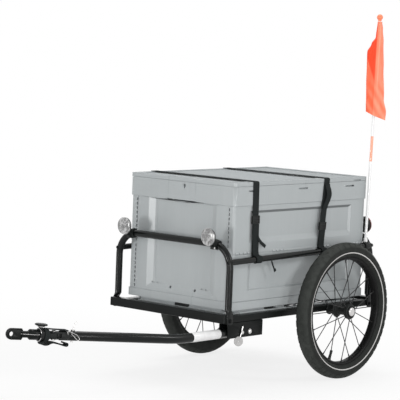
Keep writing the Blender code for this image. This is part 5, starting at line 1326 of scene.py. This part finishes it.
def crate_finish(name, gloss, rough, grain, shade=1.0):
    """Moulded grey polypropylene with its flow marks, light dirt and a fine eroded grain. A shade below 1
    darkens its colours, as painted shade.
    """
    finish, shader, place = new_finish(name, "crate_plastic", specular_ior_level=gloss)
    flow = place.stretched(1, 1, 0.16).noise(26, 4)
    streak = place.stretched(1, 1, 0.03).noise(170, 2)
    tone = flow * 0.45 + streak * 0.35 + place.noise(7, 4) * 0.2
    dark, pale = ((*(level * shade for level in colour), 1) for colour in CRATE_GREY)
    coat(
        shader,
        base_color=tone.colours(dark, pale),
        roughness=rough + 0.16 * flow,
        normal=(place.noise(1500, 3) * 0.8 + streak * 0.5).bump(grain, 0.0006),
    )
    return finish


crate_grey = crate_finish("grey polypropylene", 0.48, 0.22, 0.12)
lid_grey = crate_finish("grained grey polypropylene", 0.05, 0.62, 0.3)
# A darker copy of the grey for the faces under the ledges of the long sides: painted shade there.
ledge_painted_shade_grey = crate_finish("grey polypropylene with dirt in its corners", 0.2, 0.5, 0.2, 0.5)


def round_creases(piece, radius, steps=2, low=6, high=62):
    """Rounds the shallow folds where a sunk field slopes down from its frame."""
    only(piece)
    bpy.ops.object.mode_set(mode="EDIT")
    bpy.ops.mesh.select_mode(type="EDGE")
    bpy.ops.mesh.select_all(action="DESELECT")
    mesh = bmesh.from_edit_mesh(piece.data)
    for edge in mesh.edges:
        edge.select_set(low < math.degrees(edge.calc_face_angle(0)) < high)
    bmesh.update_edit_mesh(piece.data)
    bpy.ops.mesh.bevel(offset=radius, segments=steps, affect="EDGES")
    only(piece)


def at_corner(half_x, half_y):
    """A test for the upright edges at a box's four outer corners."""

    def test(middle, way):
        near = abs(abs(middle.x) - half_x) < 2 * NEAR and abs(abs(middle.y - CRATE_Y) - half_y) < 2 * NEAR
        return near and abs(way.z) > ALONG

    return test


def side_box(name, side, out, along, up):
    """A box at one side of the crate, by its spans outwards, backwards and upwards."""
    return block(name, (side * out[0], along[0], up[0]), (side * out[1], along[1], up[1]))


def end_box(name, end, aside, inward, up):
    """A box at one end of the crate, by its spans sideways, inwards from the end's face, and upwards."""
    face = CRATE_Y + end * CRATE_HALF_Y
    return block(name, (aside[0], face - end * inward[0], up[0]), (aside[1], face - end * inward[1], up[1]))


def carve_all(piece, cutters):
    """Cuts pieces that don't overlap out of another, all at once."""
    carve(piece, joined("cutters", *cutters))


ROUND_Y = (FRONT_Y - PAST, REAR_Y + PAST)
ROUND_X = (-CRATE_HALF_X - PAST, CRATE_HALF_X + PAST)

tray = copy_of("crate_tray", "tray_moulding")
round_edges(tray, at_corner(CRATE_HALF_X, CRATE_HALF_Y), CORNER_RADIUS, 5)
holes = []
for side in (-1, 1):
    groove_y = (FRONT_Y + 0.012, REAR_Y - 0.012)
    carve(tray, side_box("cutter", side, (0.1890, 0.1990), groove_y, (0.2166, 0.2221)))
    for y in TRAY_SLOTS_Y:
        slot_y = (CRATE_Y + y - TRAY_SLOT_HALF, CRATE_Y + y + TRAY_SLOT_HALF)
        holes.append(side_box("cutter", side, (0.1730, 0.1980), slot_y, (0.2150, 0.2221)))
    holes.append(side_box("cutter", side, (0.1988, CRATE_HALF_X + PAST), ROUND_Y, TRAY_REBATE_Z))
for end in (-1, 1):
    carve(tray, end_box("cutter", end, (-0.186, 0.186), (0.0110, 0.0010), (0.2166, 0.2229)))
    holes.append(end_box("cutter", end, (-0.022, 0.034), (0.0270, 0.0020), (0.2133, 0.2232)))
    holes.append(end_box("cutter", end, ROUND_X, (0.0022, -PAST), TRAY_REBATE_Z))
carve_all(tray, holes)
soften(tray, 0.0008, 2)
fit(tray, "frame", crate_grey, "crate_tray", smooth=60, flat=True)

# Black strips inside the tray's slots stand in for the shade in them: painted shade.
strips = []
for side in (-1, 1):
    strip_y = (FRONT_Y + 0.05, REAR_Y - 0.05)
    strips.append(side_box("strip", side, (0.1690, 0.1722), strip_y, (0.2140, 0.2250)))
for end in (-1, 1):
    strips.append(end_box("strip", end, (-0.0215, 0.0335), (0.0130, 0.0100), (0.2136, 0.2230)))
slot_shade_strips = joined("tray_slot_shade_strips", *strips)
soften(slot_shade_strips, 0.0006, 2)
fit(slot_shade_strips, "frame", black_plastic)

lips = []
for end in (-1, 1):
    lips.append(end_box("lip", end, (-0.170, 0.1935), (0.0162, 0.0140), (0.2008, 0.2134)))
for side in (-1, 1):
    lip_y = (FRONT_Y + 0.020, REAR_Y - 0.020)
    lips.append(side_box("lip", side, (0.1830, 0.1925), lip_y, (0.2119, 0.2137)))
flange = joined("tray_foot_flange", *lips)
soften(flange, 0.0006, 2)
fit(flange, "frame", crate_grey, smooth=60)

for label, side in SIDES:
    for level, field_low in FIELD_LOWS:
        node = f"crate_{label}_{level}_wall"
        panel = copy_of(node, f"{label}_{level}_panel")
        low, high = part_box(node)
        ledge_z = high.z - LEDGE_DROP
        floor_x = side * (WALL_HALF_X - FIELD_FLOOR)
        pick(panel, lambda at, normal: abs(at.z - ledge_z) < NEAR and abs(at.x) > WALL_HALF_X - NEAR, "VERT")
        bpy.ops.transform.translate(value=(0, 0, LEDGE_RISE))
        pick(panel, lambda at, normal: abs(abs(at.x) - WALL_HALF_X + FIELD_DEPTH) < NEAR, "VERT")
        field_end = (floor_x, FIELD_Y[1], high.z - FIELD_TOP)
        stretch_to(panel, (floor_x, FIELD_Y[0], low.z + field_low), field_end)
        round_creases(panel, 0.0016)
        round_edges(panel, at_corner(WALL_HALF_X, WALL_HALF_Y), CORNER_RADIUS, 5)
        slits = []
        for end in (-1, 1):
            face = CRATE_Y + end * WALL_HALF_Y
            for k in range(DASHES):
                z = low.z + DASH_START + DASH_PITCH * k
                slit_y = (face + end * 0.001, face - end * DASH_DEPTH)
                slits.append(side_box("cutter", side, DASH_X, slit_y, (z, z + DASH_LENGTH)))
        carve_all(panel, slits)
        soften(panel, 0.0007, 2)
        # The faces that look down under each ledge take the darker grey: painted shade.
        pick(panel, lambda middle, normal: normal.z < -0.4 and abs(middle.z - high.z + 0.019) < 0.006)
        paint_picked(panel, crate_grey, ledge_painted_shade_grey)
        fit(panel, "frame", crate_grey, node, smooth=60, flat=True)

    knuckles = []
    for start in KNUCKLES_Y:
        for k in range(4):
            foot = Vector((side * KNUCKLE_X, start + KNUCKLE_PITCH * k, SEAM_Z + KNUCKLE_UP))
            knuckles.append(peg("knuckle", foot, foot + Vector((0, KNUCKLE_LENGTH, 0)), KNUCKLE_RADIUS, 20))
    lip = side_box("lip", side, (0.1950, 0.2000), (0.268, 0.386), (SEAM_Z - 0.0010, SEAM_Z + 0.0034))
    hinge = joined(label + "_fold_knuckles", *knuckles, lip)
    soften(hinge, 0.0005, 2)
    fit(hinge, "frame", crate_grey)

for place_name, end in (("front", -1), ("rear", 1)):
    node = f"crate_{place_name}_wall"
    low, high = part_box(node)
    wall = block(place_name + "_wall_panel", low, high)
    pick(wall, lambda middle, normal: normal.y * end > ALONG)
    outer_y = high.y if end > 0 else low.y
    floor_y = outer_y - end * WALL_FIELD
    bpy.ops.mesh.inset(thickness=0.002)
    stretch_to(wall, (-0.130, outer_y, low.z + 0.010), (0.130, outer_y, high.z - 0.0020))
    bpy.ops.mesh.extrude_region_move(TRANSFORM_OT_translate={"value": (0, -end * WALL_FIELD, 0)})
    stretch_to(wall, (-0.107, floor_y, low.z + 0.024), (0.112, floor_y, high.z - 0.0040))
    bpy.ops.mesh.inset(thickness=0.002)
    stretch_to(wall, (-0.100, floor_y, low.z + 0.030), (0.104, floor_y, high.z - 0.0060))
    bpy.ops.mesh.extrude_region_move(TRANSFORM_OT_translate={"value": (0, -end * 0.0006, 0)})
    round_creases(wall, 0.0014)
    round_edges(wall, lambda middle, way: abs(way.x) > ALONG and middle.z > high.z - 0.001, 0.0044, 4)
    holes = []
    for x in SNAPS_X:
        start, stop = (x, outer_y - end * 0.009, low.z + SNAP_UP), (x, outer_y + end * 0.002, low.z + SNAP_UP)
        holes.append(peg("cutter", start, stop, SNAP_RADIUS, 20))
    for first_x, last_x in SLITS_X:
        start = (first_x, outer_y - end * 0.0082, low.z + SLIT_UP[0])
        holes.append(block("cutter", start, (last_x, outer_y + end * 0.001, low.z + SLIT_UP[1])))
    carve_all(wall, holes)
    soften(wall, 0.0008, 2)
    fit(wall, place_name + "_wall", crate_grey, node, smooth=60, flat=True)

band = copy_of("crate_rim_band", "rim_band_moulding")
round_edges(band, at_corner(CRATE_HALF_X, CRATE_HALF_Y), CORNER_RADIUS, 5)
holes = []
for side in (-1, 1):
    for y in BAND_GRIPS_Y:
        holes.append(side_box("cutter", side, (0.1930, 0.2035), (y - 0.0200, y + 0.0200), (0.5540, 0.5588)))
for end in (-1, 1):
    face = CRATE_Y + end * CRATE_HALF_Y
    start, stop = ((KEYHOLE[0], face + end * reach, KEYHOLE[1]) for reach in (-0.008, 0.003))
    carve(band, peg("cutter", start, stop, KEYHOLE_RADIUS, 24))
    for slot_x, slot_z in BAND_SLOTS:
        holes.append(end_box("cutter", end, slot_x, (0.008, -0.003), slot_z))
carve_all(band, holes)
soften(band, 0.0011, 2)
fit(band, "frame", crate_grey, "crate_rim_band", smooth=60, flat=True)

lid = copy_of("crate_lid", "lid_moulding")
round_edges(lid, at_corner(CRATE_HALF_X, CRATE_HALF_Y), CORNER_RADIUS, 5)
holes = [side_box("cutter", 1, (0.1955, 0.2030), (0.5675, 0.5995), (0.5712, 0.5740))]
for side in (-1, 1):
    holes.append(side_box("cutter", side, (0.1986, CRATE_HALF_X + PAST), ROUND_Y, LID_REBATE_Z))
for end in (-1, 1):
    holes.append(end_box("cutter", end, ROUND_X, (0.0014, -PAST), LID_REBATE_Z))
carve_all(lid, holes)
soften(lid, 0.0010, 2)
pick(lid, lambda middle, normal: normal.z > 0.7)
paint_picked(lid, crate_grey, lid_grey)
fit(lid, "lid", crate_grey, "crate_lid", smooth=60, flat=True)


# The two hold-down straps: each loops round both guard bars and over the lid, doubled on the way up the
# side, and is pulled tight through a moulded ladder buckle with its free end hanging.
LID_TOP = 0.5814
LID_EDGE = 0.0048
INNER_X = 0.2013
OUTER_X = 0.2041
# Each strap's place along the lid, how far it leans down the left side, and its buckle's lower and upper end
STRAPS = (
    ("front", 0.1179, -0.02, 0.4639, 0.4869),
    ("rear", 0.4374, 0.1066, 0.4314, 0.4544),
)
WRAP_RADIUS = GUARD_RADIUS + 0.0019
# Where a strap leaves the bar and comes back to the crate, as (distance above the bar, place outwards)
WRAP_RISE = ((0.0136, 0.2066), (0.0185, 0.2049), (0.0280, 0.2042))
RUNGS = (-0.0075, 0.0, 0.0075)
RUNG_HALF_Y = 0.0120
RUNG_HALF_Z = 0.0017
# The free ends, as (place outwards, distance behind the strap, height), then the way across them, their body
# and their half width: the front one hangs out behind its strap, the rear one bows out under the lid's edge
STRAP_TAILS = {
    "front": (
        ((0.2056, 0.006, 0.428), (0.2060, 0.012, 0.419), (0.2066, 0.021, 0.410), (0.2072, 0.031, 0.403),
         (0.2074, 0.039, 0.398)),
        (0, 0.55, 0.83), "frame", 0.0048,
    ),
    "rear": (
        ((0.2036, 0.001, 0.566), (0.2050, 0.002, 0.558), (0.2084, 0.005, 0.546), (0.2102, 0.006, 0.532),
         (0.2086, 0.004, 0.518), (0.2054, 0.001, 0.504), (0.2042, 0.0, 0.494)),
        (0, 1, 0), "lid", 0.0110,
    ),
}
# A loose end on the guard bar, between the straps, with a thicker folded tip
BAR_TAIL = (
    (0.2150, 0.182, 0.3600), (0.2155, 0.184, 0.3520), (0.2155, 0.189, 0.3420), (0.2150, 0.195, 0.3330),
    (0.2148, 0.199, 0.3260),
)
BAR_TAIL_ACROSS = (0, 0.85, 0.5)


def leaned(y, lean, z):
    """A strap's place along the trailer at a height, from its place on the lid and its lean."""
    return y - lean * max(0.0, LID_TOP - z)


for place_name, strap_y, lean, buckle_low, buckle_high in STRAPS:
    for label, side in SIDES:
        slope = lean if side > 0 else 0.0
        top = buckle_low - 0.0006 if side > 0 else 0.5720
        bar_z = guard_z(leaned(strap_y, slope, guard_z(strap_y)))
        middle = (top + bar_z) / 2
        path = [(side * INNER_X, z) for z in (top, top - 0.02, middle, bar_z + 0.03, bar_z + 0.012)]
        path += [(side * (POST_X + aside), bar_z + up) for aside, up in arc(WRAP_RADIUS, 180, 466, 18)]
        path += [(side * x, bar_z + up) for up, x in WRAP_RISE]
        path += [(side * OUTER_X, z) for z in (middle + 0.01, top - 0.02, top)]
        points = [(x, leaned(strap_y, slope, z), z) for x, z in path]
        lay_web(f"{place_name}_{label}_web", points, (0, 1, 0), "frame", f"{place_name}_strap_{label}")

    over = [(-0.1930, LID_TOP + 0.0012), (-0.1880, LID_TOP + 0.0013)]
    over += [(x / 1000, LID_TOP + 0.0013) for x in (*range(-160, 161, 40), 192)]
    over += [(0.1965 + aside, LID_TOP - 0.0035 + up) for aside, up in arc(LID_EDGE, 90, 0, 6)[1:]]
    down = (0.560, 0.540, 0.520, buckle_high + 0.008, buckle_high, buckle_low + 0.0005)
    over = [(x, strap_y, z) for x, z in over] + [(INNER_X, leaned(strap_y, lean, z), z) for z in down]
    lay_web(place_name + "_top_web", over, (0, 1, 0), "lid", place_name + "_strap_top")

    route, across, body, half = STRAP_TAILS[place_name]
    tail = smooth_path([(x, leaned(strap_y, lean, z) + y, z) for x, y, z in route])
    lay_web(place_name + "_strap_tail", tail, across, body, half=half)

    buckle = copy_of(place_name + "_buckle", place_name + "_ladder_buckle")
    for rung in RUNGS:
        z = (buckle_low + buckle_high) / 2 + rung
        y = leaned(strap_y, lean, z)
        low = (0.2030, y - RUNG_HALF_Y, z - RUNG_HALF_Z)
        carve(buckle, block("cutter", low, (0.2075, y + RUNG_HALF_Y, z + RUNG_HALF_Z)))
    soften(buckle, 0.0007, 2)
    fit(buckle, "lid", black_plastic, place_name + "_buckle")

lay_web("guard_bar_tail", smooth_path(BAR_TAIL), BAR_TAIL_ACROSS, "frame", half=0.0024)
tip = smooth_path([(x + 0.0012, y, z) for x, y, z in BAR_TAIL[3:]])
lay_web("guard_bar_tail_tip", tip, BAR_TAIL_ACROSS, "frame", half=0.0044)


# The flag: a white glass-fibre pole on a peg clamped to the left guard bar, with an orange band and round
# cap, and a pennant of thin orange nylon sewn into a sleeve round its top. It hangs limp in folds.
POLE_FOOT = Vector((0.2124, 0.6205, 0.386623))
POLE_AXIS = Vector((0, 0.030539, 0.999534))
POLE_LENGTH = 0.679
POLE_RADIUS = 0.004
POLE_PROFILE = (
    (0.026, 0), (0.026, 0.0025), (0, 0.0025), (0, 0.0056), (0.0006, 0.0060), (0.0104, 0.0060),
    (0.0110, 0.0054), (0.0112, 0.0041), (0.16, 0.0040), (0.4, 0.0040), (0.6600, 0.0040), (0.6600, 0),
)
ORANGE_BAND = (0.6275, 0.7032)
SALMON = ((0.86, 0.32, 0.20, 1), (0.92, 0.42, 0.28, 1))
CAP_ORANGE = ((0.93, 0.20, 0.09, 1), (0.98, 0.27, 0.13, 1))
BALL_RADIUS = 0.009
BALL_MIDDLE = POLE_LENGTH - BALL_RADIUS
FLAG_HEIGHT = 0.268
FLAG_TOP = POLE_LENGTH - 2 * BALL_RADIUS - 0.004
FLAG_ROWS = 64
FLAG_COLUMNS = 120
FLAG_THICK = 0.0005
# The cloth hangs from left to right in the first of these directions, and its folds lie in the second
FLAG_ALONG = Vector((0.745, 0.667, 0))
FLAG_OUT = Vector((0.667, -0.745, 0))
# How far it reaches to each side of the pole and how far its hem sinks, at shares of its height and width
FLAG_LEFT = (
    (0, 0.0056), (0.17, 0.0085), (0.25, 0.020), (0.34, 0.031), (0.6, 0.029), (0.9, 0.0255), (1, 0.024),
)
FLAG_RIGHT = (
    (0, 0.0075), (0.08, 0.011), (0.22, 0.0155), (0.5, 0.0205), (0.8, 0.027), (0.92, 0.036), (1, 0.035),
)
FLAG_HEM = ((0, 0), (0.6, 0.004), (1, 0.023))
# The seams, as distances down the cloth
STITCH_LINE = 0.0075
HEM_LINE = 0.2605
# The cloth's orange, from its own colour to a pale painted highlight, and a deeper orange as painted shade in
# its fold
CLOTH_ORANGE_TO_HIGHLIGHT = ((0.88, 0.130, 0.052, 1), (1.0, 0.36, 0.235, 1))
FOLD_SHADE_ORANGE = (0.84, 0.060, 0.018, 1)
# The colour of the cloth's faint painted glow
CLOTH_PAINTED_GLOW = (1.0, 0.14, 0.05, 1)

holder = copy_of("flag_holder", "pole_holder_clamp")
soften(holder, 0.0005, 2, 40)
fit(holder, "frame", black_plastic, "flag_holder")

fibreglass, shader, place = new_finish("white fibreglass", "pole_white", coat_weight=0.4)
fibre = place.stretched(1, 1, 0.02).noise(900, 2)
orange_band = place.axis(2).band(*ORANGE_BAND, 0.0007)
coat(
    shader,
    base_color=orange_band.colours(fibre.colours(grey(0.78), grey(0.88)), fibre.colours(*SALMON)),
    roughness=0.3 + 0.15 * fibre,
    normal=fibre.bump(0.1, 0.0003),
)

orange_cap, shader, place = new_finish("orange vinyl cap", "flag_orange", roughness=0.35)
cloud = place.noise(160, 2)
coat(
    shader,
    base_color=cloud.colours(*CAP_ORANGE),
    roughness=0.3 + 0.2 * cloud,
    normal=place.noise(900, 2).bump(0.15, 0.0004),
)

pole = lathe("pole_fibreglass", POLE_PROFILE, POLE_FOOT, POLE_AXIS, 28)
fit(pole, "flag", fibreglass, "flag_pole")
neck = BALL_MIDDLE - 0.0112
profile = [(neck, 0), (neck, 0.0041), (neck, 0.0050), (BALL_MIDDLE - 0.0092, 0.0054)]
profile += [(BALL_MIDDLE + ahead, out) for ahead, out in arc(BALL_RADIUS, 142, 0, 14)]
cap = lathe("pole_ball_cap", profile, POLE_FOOT, POLE_AXIS, 36)
fit(cap, "flag", orange_cap)


def eased_between(share, table):
    """Follows a table of (share, amount) with a smooth step between its rows."""
    for (start, low), (end, high) in zip(table, table[1:]):
        if share <= end:
            part = (share - start) / (end - start)
            return low + (high - low) * part * part * (3 - 2 * part)
    return table[-1][1]


orange_cloth, shader, place = new_finish(
    "orange nylon", "flag_orange", sheen_weight=0.15, specular_ior_level=0.3
)
cloth = place.node("UVMap", {}, {})
across, along = cloth.axis(0), cloth.axis(1)
weave = ((across * 5200).wave() + (along * 5200).wave()) * 0.12
off_stitches = (along - STITCH_LINE).size().eased(0.0003, 0.0009)
off_hem = (along - HEM_LINE).size().eased(0.0003, 0.0009)
sewn = (2 - off_stitches - off_hem) * (across * 1900).wave().eased(-0.2, 0.2)
crease = place.stretched(1, 1, 0.3).noise(60, 3)
# The cloth is darker and redder left of its sleeve and above a slanting fold, as painted shade in the fold.
# It is paler on the sleeve, with painted highlight along the sleeve's crease ridge, and painted light and
# shade on the slack folds under it and along its creases. The first value is how far a place is from the
# pole, sideways.
height = place.axis(2)
aside = place.axis(0) * FLAG_ALONG.x + place.axis(1) * FLAG_ALONG.y - height * 0.02038 - 0.56423
painted_fold_shade = (1 - aside.eased(-0.0066, -0.0044)) * (height + aside * 2.6).eased(0.848, 0.862)
sleeved = aside.eased(-0.0050, -0.0032)
ridge = (1 - (aside - 0.0035).size().eased(0.0006, 0.0030)) * height.eased(0.83, 0.87)
slack = ((height + aside * 1.6) * 150).wave() * (1 - height.eased(0.83, 0.88))
painted_fold_light = (crease * 0.5 + sleeved * 0.35 + ridge * 0.4 + slack * 0.18).eased(0.0, 1.1)
coat(
    shader,
    base_color=painted_fold_shade.colours(painted_fold_light.colours(*CLOTH_ORANGE_TO_HIGHLIGHT), FOLD_SHADE_ORANGE),
    roughness=0.68 + 0.2 * crease,
    normal=(weave + crease * 0.7 + slack * 0.8 + ridge - sewn * 0.8).bump(0.45, 0.0016),
)
# A faint painted glow, though the cloth is no lamp.
shader.inputs["Emission Color"].default_value = CLOTH_PAINTED_GLOW
shader.inputs["Emission Strength"].default_value = 0.07

upright = Matrix.Rotation(-math.asin(POLE_AXIS.y), 3, "X")
verts, faces, texels = [], [], []
for row in range(FLAG_ROWS + 1):
    down = row / FLAG_ROWS
    left = eased_between(down, FLAG_LEFT)
    right = eased_between(down, FLAG_RIGHT)
    hem = eased_between(down, FLAG_HEM)
    loose = min(1.0, 4 * down)
    run = 0.0
    for k in range(FLAG_COLUMNS + 1):
        angle = math.tau * 0.96 * k / FLAG_COLUMNS + 0.06
        turn, bulge = math.cos(angle), math.sin(angle)
        depth = (POLE_RADIUS + 0.0009 + 0.0022 * loose) * bulge * 1.015
        depth += 0.0016 * math.sin(3 * angle + 4.5 * down) * loose * abs(bulge)
        depth += 0.0007 * math.sin(7 * angle + 9 * down + 1.3) * loose * abs(bulge)
        reach = -turn * (left if turn > 0 else right)
        fall = Vector((0, 0, FLAG_TOP - FLAG_HEIGHT * down - hem * (1 - turn) / 2))
        point = POLE_FOOT + upright @ (FLAG_ALONG * reach + FLAG_OUT * depth + fall)
        if k:
            run += (point - verts[-1]).length
        verts.append(point)
        texels.append((run, FLAG_HEIGHT * down))
width = FLAG_COLUMNS + 1
for row in range(FLAG_ROWS):
    for k in range(FLAG_COLUMNS):
        a = row * width + k
        faces.append((a, a + 1, a + width + 1, a + width))
pennant = cloth_piece("pennant_cloth", verts, faces, texels)
modify(pennant, "SOLIDIFY", thickness=FLAG_THICK, offset=0.0)
fit(pennant, "flag", orange_cloth, "flag_cloth", smooth=80)
